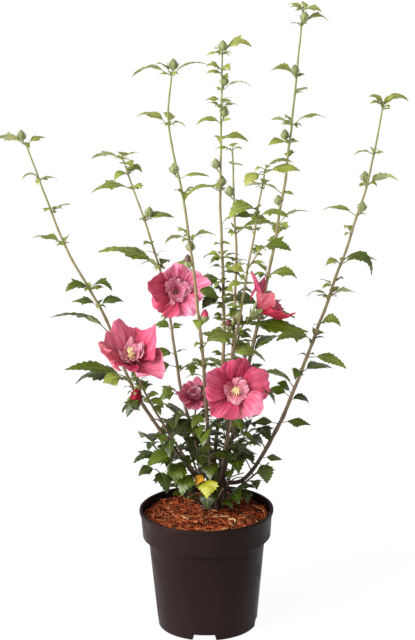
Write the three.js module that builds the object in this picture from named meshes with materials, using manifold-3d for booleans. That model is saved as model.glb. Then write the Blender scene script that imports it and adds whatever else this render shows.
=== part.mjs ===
// A hibiscus shrub in bloom, growing in its round black nursery pot.
// Millimetres, +Z up. The origin is the centre of the pot's flat underside and the front looks along -Y.

import * as THREE from "three";
import { mergeVertices } from "three/addons/utils/BufferGeometryUtils.js";
import Module from "manifold-3d";

const wasm = await Module();
wasm.setup();

// The pot: a lip, a band under it that ends in a flat step, a tapering body and a grooved floor
const POT_HEIGHT = 200;
const LIP_RADIUS = 110;
const LIP_HEIGHT = 6;
const BAND_TOP_RADIUS = 107.7;
const BAND_FOOT_RADIUS = 105.2;
const BAND_FOOT_HEIGHT = 154.5;
const BODY_TOP_RADIUS = 95.8;
const BODY_TOP_HEIGHT = 151.5;
const BASE_RADIUS = 81.8;
const WALL = 2.4;
const FLOOR_PAD_RADIUS = 54;
const GROOVE_HEIGHT = 10;
const GROOVE_SLOPE = 3;
const FOOT_RING_WIDTH = 3.4;
const NOTCH_WIDTH = 33.5;
const NOTCH_COUNT = 4;
const FRONT_NOTCH_TURN = 266;
const POT_SEGMENTS = 28;

// The filling of the pot
const FIT_GAP = 0.3;
const MIX_HEIGHT = 188.5;
const MIX_FLAT_RADIUS = 62;
const MIX_RIM_DROP = 4;

// The woody crown that the stems rise from, and the stems' feet on it
const CROWN_CENTRE = { x: 10, y: 25 };
const CROWN_HEIGHT = 25;
const CROWN_TOP_RADIUS = 18.8;
const CROWN_NECK_RADIUS = 20.5;
const CROWN_FLARE_RADIUS = 25;
const CROWN_FLARE_HEIGHT = 6;
const ROOT_LOBES = 5;
const FEET_RADIUS = 14;
const ELBOW_RISE = 16;
const ELBOW_SWING = 5;
const SPRAY_FOOT_HEIGHT = 12;

const SOIL = MIX_HEIGHT + FIT_GAP;
const CROWN_TOP = SOIL + CROWN_HEIGHT;

// Limbs
const FUSE_TOLERANCE = 0.1;
const LIMB_SIDES = 5;
const LIMB_STEP = 50;
const TWIG_SIDES = 3;
const TIP_RADIUS = 1.3;
const BLOOM_TIP_RADIUS = 1.6;

// Leaves: a petiole, then a blade that arches over
const LARGE_BLADE = 54;
const SMALL_BLADE = 32;
const LONGER = 1.5;
const BLADE_SPREAD = 0.2;
const WIDTH_SHARE = 0.5;
const PETIOLE_SHARE = 0.24;
const PETIOLE_RADIUS = 1.1;
const KEEL_SHARE = 0.12;
const WIDEST_AT = 0.4;
const NARROWING_AT = 0.76;
const LEAF_TRIES = 7;
const LEAF_CLEARANCE = 1.2;
const LEAVES_OVER_RIM = 8;
const FIRST_JOINT = 8;
const JOINT_SWING = 4;
const FILL_STEP = 7;

// What each leaf's seed is counted from
const WORD_SEEDS = { mass: 1009, joint: 31, place: 7 };
const SPRAY_SEEDS = { mass: 997, joint: 13, tip: 501 };

// The crown's reach
const REACH = { left: -324, right: 330, front: -232, back: 258, top: 1010 };

// Buds and flowers
const BUD_LENGTH = 17;
const BUD_RADIUS = 4.6;
const BUD_STALK = 9;
const PETAL_COUNT = 5;
const PETAL_THICKNESS = 1.1;
const PETALOID_COUNT = 3;
const SPENT_RADIUS = 7;
const CALYX_LENGTH = 15;
const CALYX_RADIUS = 8;
const COLUMN_LENGTH = 27;

// Directions of a leaf letter, in degrees round the plant
const SIDES = { l: 180, r: 0, f: 270, b: 90 };

// The stems. Each rises from its place on the crown (turn, in degrees), by way of a few places to its
// tip. The bough is its bare lower stretch, and the rest is a leafy mass. The leaf words go up the mass
// at even steps: l, r, f and b put a leaf to the left, right, front or back, a capital makes it a large
// one and a star after it a longer one, o is a bud, < and > are side twigs, and a point is a bare joint.
const STEMS = [
  {
    name: "left", turn: 192, foot: 4.2, bough: 130, seed: 11,
    via: [[-113, -72, 428], [-156, -86, 553], [-210, -92, 659]], tip: [-268, -80, 820],
    leaves: "lR L lr . r L*l . . L*> . lr lrf . . Lb . rf . lrf . Lrroo",
  },
  {
    name: "left_back", turn: 112, foot: 4, bough: 350, seed: 23,
    via: [[-37, 60, 372], [-71, 100, 572]], tip: [-131, 150, 754],
    leaves: "b L*l . . Rob . Lf rb Llrb",
  },
  {
    name: "front", turn: 262, foot: 4.2, bough: 125, seed: 37,
    via: [[-4, -80, 494], [-30, -130, 744], [-50, -148, 866]], tip: [-44, -160, 936],
    leaves: "LF r Lb RF l . Rb . lf . Rl . o lrb . . rf oR . . Lorb . . LRloo",
  },
  {
    name: "back", turn: 80, foot: 4.4, bough: 140, seed: 41,
    via: [[31, 46, 468], [28, 85, 699]], tip: [33, 110, 930],
    leaves: "BL Rb lB R Lb r Lb LRf . lRb . lrf . Lob o . Rf Lo lrb Ro lf Rlboo",
  },
  {
    name: "middle", turn: 331, foot: 4.3, bough: 268, seed: 53,
    via: [[47, -22, 521], [51, -12, 636]], tip: [46, -20, 797],
    leaves: "l ob . r . f . LRb . o . f Rlbo",
  },
  {
    name: "right_back", turn: 40, foot: 4.6, bough: 140, seed: 67,
    via: [[66, 66, 395], [130, 132, 690]], tip: [166, 188, 990],
    leaves: "RB L Bb R l Rb L . Rlb . B Rf o Lo . b lof lRb . f Lo . . Rob lrbfo",
  },
  {
    name: "right", turn: 6, foot: 4.6, bough: 118, seed: 79,
    via: [[60, 21, 240], [116, 22, 327], [199, 30, 542], [262, 36, 736]], tip: [286, 40, 860],
    leaves: "LRf r lRb . Ll Rf . Lb r . lrb . lRf . b Lo . Rob . lf . . LRrlbo",
  },
  {
    name: "left_bloom", turn: 227, foot: 3.2, bough: 105, seed: 83,
    via: [[-62, -46, 350], [-88, -82, 412]], tip: [-112, -104, 474],
    leaves: "L r LF . l . .",
    bloom: { facing: [-0.08, -0.7, 0.71], size: 57 },
    spent: { at: 0.86, heading: 238 },
  },
  {
    name: "front_bloom", turn: 298, foot: 3.2, bough: 100, seed: 97,
    via: [[32, -38, 318], [43, -54, 375]], tip: [47, -64, 418],
    leaves: "R L f r .",
    bloom: { facing: [0.05, -0.93, 0.36], size: 57 },
  },
  {
    name: "low_bloom", turn: 152, foot: 3, bough: 80, seed: 101,
    via: [[-16, 16, 300], [-18, 14, 345]], tip: [-14, 8, 376],
    leaves: "B l r .",
    bloom: { facing: [-0.1, -0.5, 0.86], size: 36 },
  },
];

// Twigs that part from a bough's tip beside the mass that goes on from it. The seat is how much nearer
// than two round limbs their flat sides let them lie.
const SIDE_TWIGS = [
  {
    name: "centre_left_bloom", from: "left_back", foot: 2.2, seat: -0.8, seed: 113,
    via: [[-59, 82, 540]], tip: [-47, 66, 549], leaves: "r .",
    bloom: { facing: [0.1, -0.94, 0.3], size: 52 },
  },
  {
    name: "right_bloom", from: "middle", foot: 2.2, seat: 0.2, seed: 127,
    via: [[60, -16, 512]], tip: [74, -36, 536], leaves: ". b . r",
    bloom: { facing: [0.8, 0.14, 0.58], size: 50 },
  },
  {
    name: "right_front", from: "middle", foot: 2.8, seat: 0.7, seed: 131,
    via: [[64, -84, 598]], tip: [94, -128, 788],
    leaves: ". . r f . rl > . b lRf . lb LRro",
  },
];

// Short leafy sprays that fill the foot of the shrub: where each stands round the crown and leans to
const SPRAYS = [
  { name: "spray_right", turn: 345, reach: 96, rise: 76, seed: 211 },
  { name: "spray_right_back", turn: 25, reach: 72, rise: 132, seed: 223 },
  { name: "spray_back", turn: 68, reach: 64, rise: 92, seed: 227 },
  { name: "spray_left_back", turn: 132, reach: 80, rise: 118, seed: 229 },
  { name: "spray_left", turn: 172, reach: 100, rise: 98, seed: 233 },
  { name: "spray_left_front", turn: 210, reach: 96, rise: 60, seed: 239 },
  { name: "spray_front_left", turn: 245, reach: 66, rise: 128, seed: 241 },
  { name: "spray_front", turn: 280, reach: 98, rise: 58, seed: 251 },
  { name: "spray_right_front", turn: 315, reach: 74, rise: 120, seed: 257 },
];
const SPRAY_FOOT = 2.3;
const SPRAY_FIRST_JOINT = 14;
const SPRAY_JOINT = 17;
const SPRAY_FAN = 64;

const radians = THREE.MathUtils.degToRad;
const PETAL_START = radians(30);
const PETAL_OPEN = radians(92);

const MATERIALS = {
  pot: { color: 0x2f2a2b, roughness: 0.5, metalness: 0 },
  mix: { color: 0x7c4325, roughness: 0.95, metalness: 0 },
  wood: { color: 0x5f4636, roughness: 0.8, metalness: 0 },
  leaf: { color: 0x5b7a31, roughness: 0.6, metalness: 0 },
  lowLeaf: { color: 0x36522a, roughness: 0.6, metalness: 0 },
  petal: { color: 0xc22468, roughness: 0.7, metalness: 0 },
};

const at = (place) => new THREE.Vector3(...place);
const round = (turn, radius, height, centre = { x: 0, y: 0 }) => new THREE.Vector3(
  centre.x + radius * Math.cos(radians(turn)),
  centre.y + radius * Math.sin(radians(turn)),
  height,
);

// Repeatable numbers from 0 to 1
function numbersFrom(seed) {
  let state = seed;
  return () => {
    state = (state * 16807) % 2147483647;
    return state / 2147483647;
  };
}

function spread(draw, middle, swing) {
  return middle + swing * (2 * draw() - 1);
}

// Closed mesh from corners and faces, as one solid
function closedMesh(corners, faces) {
  const numbers = corners.flatMap((corner) => corner.toArray());
  const geometry = new THREE.BufferGeometry();
  geometry.setAttribute("position", new THREE.Float32BufferAttribute(numbers, 3));
  geometry.setIndex(faces.flat());
  return geometry;
}

function toSolid(geometry) {
  const bare = geometry.clone();
  bare.deleteAttribute("normal");
  bare.deleteAttribute("uv");
  const merged = mergeVertices(bare, 1e-4);
  return new wasm.Manifold(new wasm.Mesh({
    numProp: 3,
    vertProperties: new Float32Array(merged.attributes.position.array),
    triVerts: new Uint32Array(merged.index.array),
  }));
}

function toGeometry(solid) {
  const { vertProperties, triVerts } = solid.getMesh();
  const geometry = new THREE.BufferGeometry();
  geometry.setAttribute("position", new THREE.BufferAttribute(new Float32Array(vertProperties), 3));
  geometry.setIndex(new THREE.BufferAttribute(new Uint32Array(triVerts), 1));
  geometry.computeVertexNormals();
  return geometry;
}

// Joins shapes into one solid, without loose scraps
function fuse(shapes) {
  let whole = toSolid(shapes[0]);
  for (const shape of shapes.slice(1)) {
    whole = whole.add(toSolid(shape));
  }
  const bodies = whole.decompose().sort((a, b) => b.volume() - a.volume());
  return toGeometry(bodies[0].asOriginal().simplify(FUSE_TOLERANCE));
}

// Turned body from its half outline
function turned(outline, segments) {
  const points = outline.map(([radius, height]) => new THREE.Vector2(radius, height));
  return new THREE.LatheGeometry(points, segments).rotateX(Math.PI / 2);
}

// Skin over rings of corners that have the same count, closed at both ends.
// A ring of one corner is a point.
function skin(rings) {
  const corners = rings.flat();
  const faces = [];
  let start = 0;
  for (let i = 0; i + 1 < rings.length; i += 1) {
    const low = rings[i].length;
    const high = rings[i + 1].length;
    const next = start + low;
    const count = Math.max(low, high);
    for (let k = 0; k < count; k += 1) {
      const n = (k + 1) % count;
      if (low > 1) {
        faces.push([start + k, start + n, next + (high > 1 ? n : 0)]);
      }
      if (high > 1) {
        faces.push([start + (low > 1 ? k : 0), next + n, next + k]);
      }
    }
    start = next;
  }
  for (let k = 1; k + 1 < rings[0].length; k += 1) {
    faces.push([0, k + 1, k]);
  }
  for (let k = 1; k + 1 < rings[rings.length - 1].length; k += 1) {
    faces.push([start, start + k, start + k + 1]);
  }
  return closedMesh(corners, faces);
}

// Place on a curve at a run in mm from its start
function placeAt(curve, run) {
  return curve.getPointAt(THREE.MathUtils.clamp(run / curve.getLength(), 0, 1));
}

// Tapering limb along part of a curve, with its thickness as a function of the share of its length.
// A flat foot is cut level.
function limb(curve, from, to, thickness, sides = LIMB_SIDES, step = LIMB_STEP, flatFoot = false) {
  const count = Math.max(1, Math.ceil((to - from) / step));
  const rings = [];
  const across = new THREE.Vector3(1, 0.2, 0);
  for (let i = 0; i <= count; i += 1) {
    const run = from + (to - from) * i / count;
    const centre = placeAt(curve, run);
    const share = THREE.MathUtils.clamp(run / curve.getLength(), 0, 1);
    const along = flatFoot && i === 0 ? new THREE.Vector3(0, 0, 1) : curve.getTangentAt(share);
    across.addScaledVector(along, -across.dot(along)).normalize();
    const beside = new THREE.Vector3().crossVectors(along, across);
    const radius = thickness(i / count);
    const ring = [];
    for (let k = 0; k < sides; k += 1) {
      const turn = 2 * Math.PI * k / sides;
      ring.push(centre.clone()
        .addScaledVector(across, radius * Math.cos(turn))
        .addScaledVector(beside, radius * Math.sin(turn)));
    }
    rings.push(ring);
  }
  return skin(rings);
}

const taper = (start, end) => (share) => start + (end - start) * share;

// Places already filled, so that every mass keeps to its own space
const filled = [];

function fill(centre, radius, owner, isLimb) {
  filled.push({ centre, radius, owner, isLimb });
}

function fillLimb(curve, from, to, radius, owner) {
  const count = Math.ceil((to - from) / FILL_STEP);
  for (let i = 0; i <= count; i += 1) {
    fill(placeAt(curve, from + (to - from) * i / count), radius, owner, true);
  }
}

function isFree(spots, owner) {
  return spots.every((spot) => filled.every((other) => {
    if (other.owner === owner && other.isLimb) {
      return true;
    }
    const room = (spot.radius + other.radius) * (other.owner === owner ? 0.7 : 1) + LEAF_CLEARANCE;
    return spot.centre.distanceToSquared(other.centre) > room * room;
  }));
}

function isInReach({ centre, radius }) {
  const fromAxis = Math.hypot(centre.x, centre.y);
  const floor = fromAxis < LIP_RADIUS + 10 && fromAxis > LIP_RADIUS - 18
    ? POT_HEIGHT + LEAVES_OVER_RIM : SOIL + LEAVES_OVER_RIM;
  return centre.x > REACH.left && centre.x < REACH.right && centre.y > REACH.front
    && centre.y < REACH.back && centre.z + radius < REACH.top && centre.z - 1 > floor;
}

// Midrib of a leaf: straight along the petiole, then arching evenly to its drooping tip
function midrib(leaf, run) {
  const past = Math.max(0, run - leaf.petiole);
  const bend = (leaf.end - leaf.rise) / leaf.blade;
  const angle = leaf.rise + bend * past;
  const straight = Math.min(run, leaf.petiole);
  const out = straight * Math.cos(leaf.rise) + (Math.sin(angle) - Math.sin(leaf.rise)) / bend;
  const up = straight * Math.sin(leaf.rise) - (Math.cos(angle) - Math.cos(leaf.rise)) / bend;
  const heading = new THREE.Vector3(Math.cos(leaf.heading), Math.sin(leaf.heading), 0);
  const level = new THREE.Vector3(-Math.sin(leaf.heading), Math.cos(leaf.heading), 0);
  const over = heading.clone().multiplyScalar(-Math.sin(angle)).setZ(Math.cos(angle));
  const centre = leaf.root.clone().addScaledVector(heading, out);
  centre.z += up;
  return {
    centre,
    side: level.clone().multiplyScalar(Math.cos(leaf.roll)).addScaledVector(over, Math.sin(leaf.roll)),
    over: over.clone().multiplyScalar(Math.cos(leaf.roll)).addScaledVector(level, -Math.sin(leaf.roll)),
  };
}

// A seeded leaf at a joint of a limb
function planLeaf(root, turn, size, draw) {
  const blade = spread(draw, 1, BLADE_SPREAD) * size;
  return {
    root,
    heading: radians(spread(draw, turn, 34)),
    rise: radians(spread(draw, 38, 16)),
    end: radians(spread(draw, -42, 24)),
    roll: radians(spread(draw, 0, 34)),
    petiole: blade * spread(draw, PETIOLE_SHARE, 0.06),
    blade,
    width: blade * spread(draw, WIDTH_SHARE, 0.05),
  };
}

function leafSpots(leaf) {
  const spots = [];
  for (const share of [0.15, 0.38, 0.62, 0.86, 1]) {
    const spot = midrib(leaf, leaf.petiole + leaf.blade * share);
    const half = leaf.width * 0.5 * (share > NARROWING_AT ? 0.4 : 0.8);
    const radius = leaf.width * (share > NARROWING_AT ? 0.12 : 0.2);
    for (const across of share === 1 ? [0] : [-0.7, 0, 0.7]) {
      spots.push({ centre: spot.centre.clone().addScaledVector(spot.side, half * across), radius });
    }
  }
  return spots;
}

function leafShape(leaf) {
  const section = (run, half, keel, lift) => {
    const spot = midrib(leaf, run);
    return [
      spot.centre.clone().addScaledVector(spot.side, half).addScaledVector(spot.over, lift),
      spot.centre.clone().addScaledVector(spot.side, -half).addScaledVector(spot.over, lift),
      spot.centre.clone().addScaledVector(spot.over, -keel),
    ];
  };
  const half = leaf.width / 2;
  const keel = leaf.width * KEEL_SHARE / 2;
  return skin([
    section(0, PETIOLE_RADIUS, PETIOLE_RADIUS, PETIOLE_RADIUS * 0.6),
    section(leaf.petiole, PETIOLE_RADIUS, PETIOLE_RADIUS, PETIOLE_RADIUS * 0.6),
    section(leaf.petiole + leaf.blade * WIDEST_AT, half, keel, keel),
    [midrib(leaf, leaf.petiole + leaf.blade).centre],
  ]);
}

// Tries a leaf at a joint, turning it a little until it has room, and skips it if it finds none
function growLeaf(shapes, owner, root, turn, size, seed) {
  const draw = numbersFrom(seed);
  for (let attempt = 0; attempt < LEAF_TRIES; attempt += 1) {
    const leaf = planLeaf(root, spread(draw, turn, 5 * attempt), size, draw);
    const spots = leafSpots(leaf);
    if (spots.every(isInReach) && isFree(spots, owner)) {
      spots.forEach((spot) => fill(spot.centre, spot.radius, owner, false));
      shapes.push(leafShape(leaf));
      return;
    }
  }
}

// Green bud on a short stalk beside its stem
function growBud(shapes, owner, root, draw) {
  const turn = spread(draw, 180, 180);
  const out = round(turn, BUD_STALK * 0.75, BUD_STALK * 0.8);
  const tip = root.clone().add(out);
  const up = new THREE.Vector3(out.x * 0.25, out.y * 0.25, BUD_LENGTH);
  const top = tip.clone().add(up);
  const spot = { centre: tip.clone().lerp(top, 0.5), radius: BUD_LENGTH * 0.5 };
  if (!isInReach(spot) || !isFree([spot], owner)) {
    return;
  }
  fill(spot.centre, spot.radius, owner, false);
  const belly = (share) => BUD_RADIUS * Math.sin(Math.PI * (0.12 + 0.8 * share));
  const stalk = new THREE.LineCurve3(root, tip.clone().lerp(top, 0.2));
  shapes.push(limb(stalk, 0, stalk.getLength(), taper(1, 1.2), TWIG_SIDES));
  shapes.push(limb(new THREE.LineCurve3(tip, top), 0, BUD_LENGTH, belly, LIMB_SIDES, BUD_LENGTH / 2.5));
}

// Side twig with a leaf at its tip and one on each flank
function growTwig(shapes, owner, root, turn, seed) {
  const draw = numbersFrom(seed);
  const heading = spread(draw, turn, 20);
  const length = spread(draw, 48, 10);
  const tip = root.clone().add(round(heading, length * 0.55, length * 0.83));
  const curve = new THREE.LineCurve3(root, tip);
  const spots = [0.5, 0.75, 1].map((share) => ({ centre: curve.getPoint(share), radius: 4 }));
  if (!spots.every(isInReach) || !isFree(spots, owner)) {
    return;
  }
  spots.forEach((spot) => fill(spot.centre, spot.radius, owner, true));
  shapes.push(limb(curve, 0, length, taper(1.6, 1.1), TWIG_SIDES));
  growLeaf(shapes, owner, curve.getPoint(0.97), heading, LARGE_BLADE, seed + 1);
  growLeaf(shapes, owner, curve.getPoint(0.62), heading + 75, SMALL_BLADE, seed + 2);
  growLeaf(shapes, owner, curve.getPoint(0.9), heading - 70, SMALL_BLADE, seed + 3);
}

// Thin solid from a grid of places, thickened along its own normals
function sheet(grid, thickness) {
  const rows = grid.length;
  const columns = grid[0].length;
  const clampRow = (i) => Math.min(rows - 1, Math.max(0, i));
  const clampColumn = (k) => Math.min(columns - 1, Math.max(0, k));
  const faceSide = (sign) => grid.flatMap((row, i) => row.map((place, k) => {
    const alongRow = grid[i][clampColumn(k + 1)].clone().sub(grid[i][clampColumn(k - 1)]);
    const alongColumn = grid[clampRow(i + 1)][k].clone().sub(grid[clampRow(i - 1)][k]);
    const normal = alongRow.cross(alongColumn).normalize();
    return place.clone().addScaledVector(normal, sign * thickness / 2);
  }));
  const corners = [...faceSide(1), ...faceSide(-1)];
  const under = rows * columns;
  const faces = [];
  const quad = (a, b, c, d) => faces.push([a, b, c], [a, c, d]);
  for (let i = 0; i + 1 < rows; i += 1) {
    for (let k = 0; k + 1 < columns; k += 1) {
      const a = i * columns + k;
      quad(a, a + 1, a + 1 + columns, a + columns);
      quad(under + a, under + a + columns, under + a + 1 + columns, under + a + 1);
    }
  }
  for (let k = 0; k + 1 < columns; k += 1) {
    const far = (rows - 1) * columns + k;
    quad(k, under + k, under + k + 1, k + 1);
    quad(far, far + 1, under + far + 1, under + far);
  }
  for (let i = 0; i + 1 < rows; i += 1) {
    const a = i * columns;
    const b = a + columns - 1;
    quad(a, a + columns, under + a + columns, under + a);
    quad(b, under + b, under + b + columns, b + columns);
  }
  return closedMesh(corners, faces);
}

// Axes of a flower that faces a given way
function flowerAxes(facing) {
  const axis = at(facing).normalize();
  const first = new THREE.Vector3(0, 0, 1).addScaledVector(axis, -axis.z).normalize();
  const second = new THREE.Vector3().crossVectors(axis, first);
  return { axis, first, second };
}

// Place on a petal: share along it from 0 to 1 and across it from -1 to 1
function petalPlace(base, axes, petal, along, across) {
  const bend = petal.open - petal.start;
  const angle = petal.start + bend * along;
  const out = petal.length * (Math.cos(petal.start) - Math.cos(angle)) / bend;
  const forward = petal.length * (Math.sin(angle) - Math.sin(petal.start)) / bend;
  const turn = petal.turn;
  const radial = axes.first.clone().multiplyScalar(Math.cos(turn))
    .addScaledVector(axes.second, Math.sin(turn));
  const beside = axes.first.clone().multiplyScalar(-Math.sin(turn))
    .addScaledVector(axes.second, Math.cos(turn));
  const rim = 1 - 0.2 * across * across * along;
  const half = petal.width / 2 * (0.1 + 0.9 * Math.sin(Math.PI / 2 * Math.min(1, 1.3 * along)) ** 1.5);
  return base.clone()
    .addScaledVector(radial, 2.5 + out * rim)
    .addScaledVector(axes.axis, forward * rim + across * petal.twist * half)
    .addScaledVector(beside, across * half);
}

function petalShape(base, axes, petal, rows, columns) {
  const grid = [];
  for (let i = 0; i < rows; i += 1) {
    const row = [];
    for (let k = 0; k < columns; k += 1) {
      row.push(petalPlace(base, axes, petal, i / (rows - 1), 2 * k / (columns - 1) - 1));
    }
    grid.push(row);
  }
  return sheet(grid, PETAL_THICKNESS);
}

// Marks the space of an open flower as filled
function fillBloom(heart, axes, size, owner) {
  for (const reach of [0.3, 0.75, 1.1]) {
    for (let turn = 0; turn < 360; turn += 36) {
      const bend = { start: PETAL_START, open: PETAL_OPEN, twist: 0 };
      const ray = { ...bend, turn: radians(turn), length: size * 1.1, width: 0 };
      fill(petalPlace(heart, axes, ray, reach, 0), size * 0.2, owner, false);
    }
  }
}

// Open flower: calyx, five broad petals, short inner petals and the column
function growBloom(shapes, owner, base, bloom, draw) {
  const axes = flowerAxes(bloom.facing);
  const heart = base.clone().addScaledVector(axes.axis, CALYX_LENGTH * 0.8);
  const calyx = new THREE.LineCurve3(
    base.clone().addScaledVector(axes.axis, -2),
    base.clone().addScaledVector(axes.axis, CALYX_LENGTH),
  );
  const cup = (share) => CALYX_RADIUS * Math.sqrt(0.12 + 0.88 * share);
  shapes.push(limb(calyx, 0, CALYX_LENGTH + 2, cup, LIMB_SIDES, CALYX_LENGTH * 0.6));
  for (let i = 0; i < PETAL_COUNT; i += 1) {
    shapes.push(petalShape(heart, axes, {
      turn: radians(360 / PETAL_COUNT * i + spread(draw, 0, 7)),
      length: bloom.size * spread(draw, 1.1, 0.05),
      width: bloom.size * spread(draw, 0.94, 0.06),
      start: PETAL_START,
      open: PETAL_OPEN + radians(spread(draw, 0, 10)),
      twist: 0.16,
    }, 3, 3));
  }
  for (let i = 0; i < PETALOID_COUNT; i += 1) {
    shapes.push(petalShape(heart, axes, {
      turn: radians(360 / PETALOID_COUNT * (i + 0.5) + spread(draw, 0, 12)),
      length: bloom.size * spread(draw, 0.56, 0.08),
      width: bloom.size * spread(draw, 0.4, 0.06),
      start: radians(12),
      open: radians(spread(draw, 58, 14)),
      twist: 0.1,
    }, 3, 2));
  }
  const column = new THREE.LineCurve3(heart, heart.clone().addScaledVector(axes.axis, COLUMN_LENGTH));
  shapes.push(limb(column, 0, COLUMN_LENGTH, taper(3.4, 2.4)));
  fillBloom(heart, axes, bloom.size, owner);
}

// Spent flower, furled and hanging beside its stem
function growSpent(shapes, root, heading) {
  const tip = root.clone().add(round(heading, 15, 6));
  const end = tip.clone().add(round(heading, 8, -30));
  shapes.push(limb(new THREE.LineCurve3(root, tip), 0, root.distanceTo(tip), taper(1.2, 1.4), TWIG_SIDES));
  const belly = (share) => SPENT_RADIUS * Math.sin(Math.PI * (0.14 + 0.72 * share));
  const start = tip.clone().lerp(end, -0.08);
  const length = start.distanceTo(end);
  shapes.push(limb(new THREE.LineCurve3(start, end), 0, length, belly, LIMB_SIDES, length / 3));
}

// Leaves, buds and twigs at even steps up a limb, as its words say
function growWords({ shapes, name: owner, curve, start: from, whole: to, leaves, seed }) {
  const joints = leaves.split(" ");
  const draw = numbersFrom(seed);
  joints.forEach((letters, joint) => {
    const share = joint / (joints.length - 1);
    const swing = joint + 1 < joints.length ? JOINT_SWING : 0;
    const run = from + FIRST_JOINT + (to - from - FIRST_JOINT - 1) * share + spread(draw, 0, swing);
    const root = placeAt(curve, Math.max(from + JOINT_SWING, run));
    [...letters].forEach((letter, place) => {
      const leafSeed = seed * WORD_SEEDS.mass + joint * WORD_SEEDS.joint + place * WORD_SEEDS.place + 1;
      const turn = SIDES[letter.toLowerCase()];
      const size = (letter === letter.toLowerCase() ? SMALL_BLADE : LARGE_BLADE)
        * (letters[place + 1] === "*" ? LONGER : 1);
      if (turn !== undefined) {
        growLeaf(shapes, owner, root, turn, size, leafSeed);
      } else if (letter === "o") {
        growBud(shapes, owner, root, draw);
      } else if (letter === "<" || letter === ">") {
        growTwig(shapes, owner, root, letter === "<" ? SIDES.l : SIDES.r, leafSeed);
      }
    });
  });
}

const shrub = new THREE.Group();

function addPiece(name, geometry, material) {
  const mesh = new THREE.Mesh(geometry, new THREE.MeshStandardMaterial(MATERIALS[material]));
  mesh.name = name;
  shrub.add(mesh);
}

// Pot with four drainage notches in its foot ring
function addPot() {
  const padEdge = FLOOR_PAD_RADIUS + GROOVE_SLOPE;
  const ringEdge = BASE_RADIUS - FOOT_RING_WIDTH;
  const grooveFloor = GROOVE_HEIGHT + WALL;
  const grooveWall = BASE_RADIUS + (BODY_TOP_RADIUS - BASE_RADIUS) * grooveFloor / BODY_TOP_HEIGHT - WALL;
  const body = turned([
    [0, 0],
    [FLOOR_PAD_RADIUS, 0],
    [padEdge, GROOVE_HEIGHT],
    [ringEdge, GROOVE_HEIGHT],
    [ringEdge, 0],
    [BASE_RADIUS, 0],
    [BODY_TOP_RADIUS, BODY_TOP_HEIGHT],
    [BAND_FOOT_RADIUS, BAND_FOOT_HEIGHT],
    [BAND_TOP_RADIUS, POT_HEIGHT - LIP_HEIGHT],
    [LIP_RADIUS, POT_HEIGHT - LIP_HEIGHT],
    [LIP_RADIUS, POT_HEIGHT],
    [BAND_TOP_RADIUS - WALL, POT_HEIGHT],
    [BAND_FOOT_RADIUS - WALL, BAND_FOOT_HEIGHT + WALL],
    [BODY_TOP_RADIUS - WALL, BODY_TOP_HEIGHT + WALL],
    [grooveWall, grooveFloor],
    [padEdge - WALL, grooveFloor],
    [FLOOR_PAD_RADIUS - WALL, WALL],
    [0, WALL],
  ], POT_SEGMENTS);
  let solid = toSolid(body);
  for (let i = 0; i < NOTCH_COUNT; i += 1) {
    const turn = FRONT_NOTCH_TURN + 360 / NOTCH_COUNT * i;
    const notch = new THREE.BoxGeometry(2 * FOOT_RING_WIDTH + 6, NOTCH_WIDTH, 2 * (GROOVE_HEIGHT - 0.4));
    const place = round(turn, BASE_RADIUS, 0);
    notch.rotateZ(radians(turn)).translate(place.x, place.y, 0);
    solid = solid.subtract(toSolid(notch));
  }
  addPiece("pot", toGeometry(solid), "pot");
}

// Bark and compost that fill the pot to just under its lip
function addPottingMix() {
  const inside = WALL + FIT_GAP;
  const padEdge = FLOOR_PAD_RADIUS + GROOVE_SLOPE;
  const grooveFloor = GROOVE_HEIGHT + inside;
  const grooveWall = BASE_RADIUS + (BODY_TOP_RADIUS - BASE_RADIUS) * grooveFloor / BODY_TOP_HEIGHT - inside;
  const rimHeight = MIX_HEIGHT - MIX_RIM_DROP;
  const bandShare = (rimHeight - BAND_FOOT_HEIGHT) / (POT_HEIGHT - LIP_HEIGHT - BAND_FOOT_HEIGHT);
  const rimRadius = BAND_FOOT_RADIUS + (BAND_TOP_RADIUS - BAND_FOOT_RADIUS) * bandShare - inside;
  addPiece("potting_mix", turned([
    [0, inside],
    [FLOOR_PAD_RADIUS - inside, inside],
    [padEdge - inside, grooveFloor],
    [grooveWall, grooveFloor],
    [BODY_TOP_RADIUS - inside - 0.2, BODY_TOP_HEIGHT + inside],
    [BAND_FOOT_RADIUS - inside - 0.2, BAND_FOOT_HEIGHT + inside + 0.2],
    [rimRadius - 0.4, rimHeight],
    [MIX_FLAT_RADIUS, MIX_HEIGHT],
    [0, MIX_HEIGHT],
  ], POT_SEGMENTS), "mix");
}

// Woody crown, cut level at the soil and flared into its roots there
function addCrown() {
  const stages = [
    [0, CROWN_FLARE_RADIUS, 0.14],
    [CROWN_FLARE_HEIGHT, CROWN_NECK_RADIUS, 0],
    [CROWN_HEIGHT, CROWN_TOP_RADIUS, 0],
  ];
  const rings = stages.map(([height, radius, lobe]) => {
    const ring = [];
    for (let k = 0; k < 4 * ROOT_LOBES; k += 1) {
      const turn = 360 * k / (4 * ROOT_LOBES);
      const reach = radius * (1 + lobe * Math.cos(radians(turn * ROOT_LOBES)));
      ring.push(round(turn, reach, SOIL + height, CROWN_CENTRE));
    }
    return ring;
  });
  addPiece("root_crown", skin(rings), "wood");
}

// Stems: first every limb, then the flowers, then the leaves of each mass in turn
const masses = [];

function stemCurve(stem) {
  const foot = stem.name === "back"
    ? new THREE.Vector3(CROWN_CENTRE.x, CROWN_CENTRE.y, CROWN_TOP + FIT_GAP)
    : round(stem.turn, FEET_RADIUS, CROWN_TOP + FIT_GAP, CROWN_CENTRE);
  const swing = stem.name === "back" ? 0 : ELBOW_SWING;
  const elbow = foot.clone().add(round(stem.turn, swing, ELBOW_RISE));
  return new THREE.CatmullRomCurve3([foot, elbow, ...stem.via.map(at), at(stem.tip)]);
}

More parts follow.
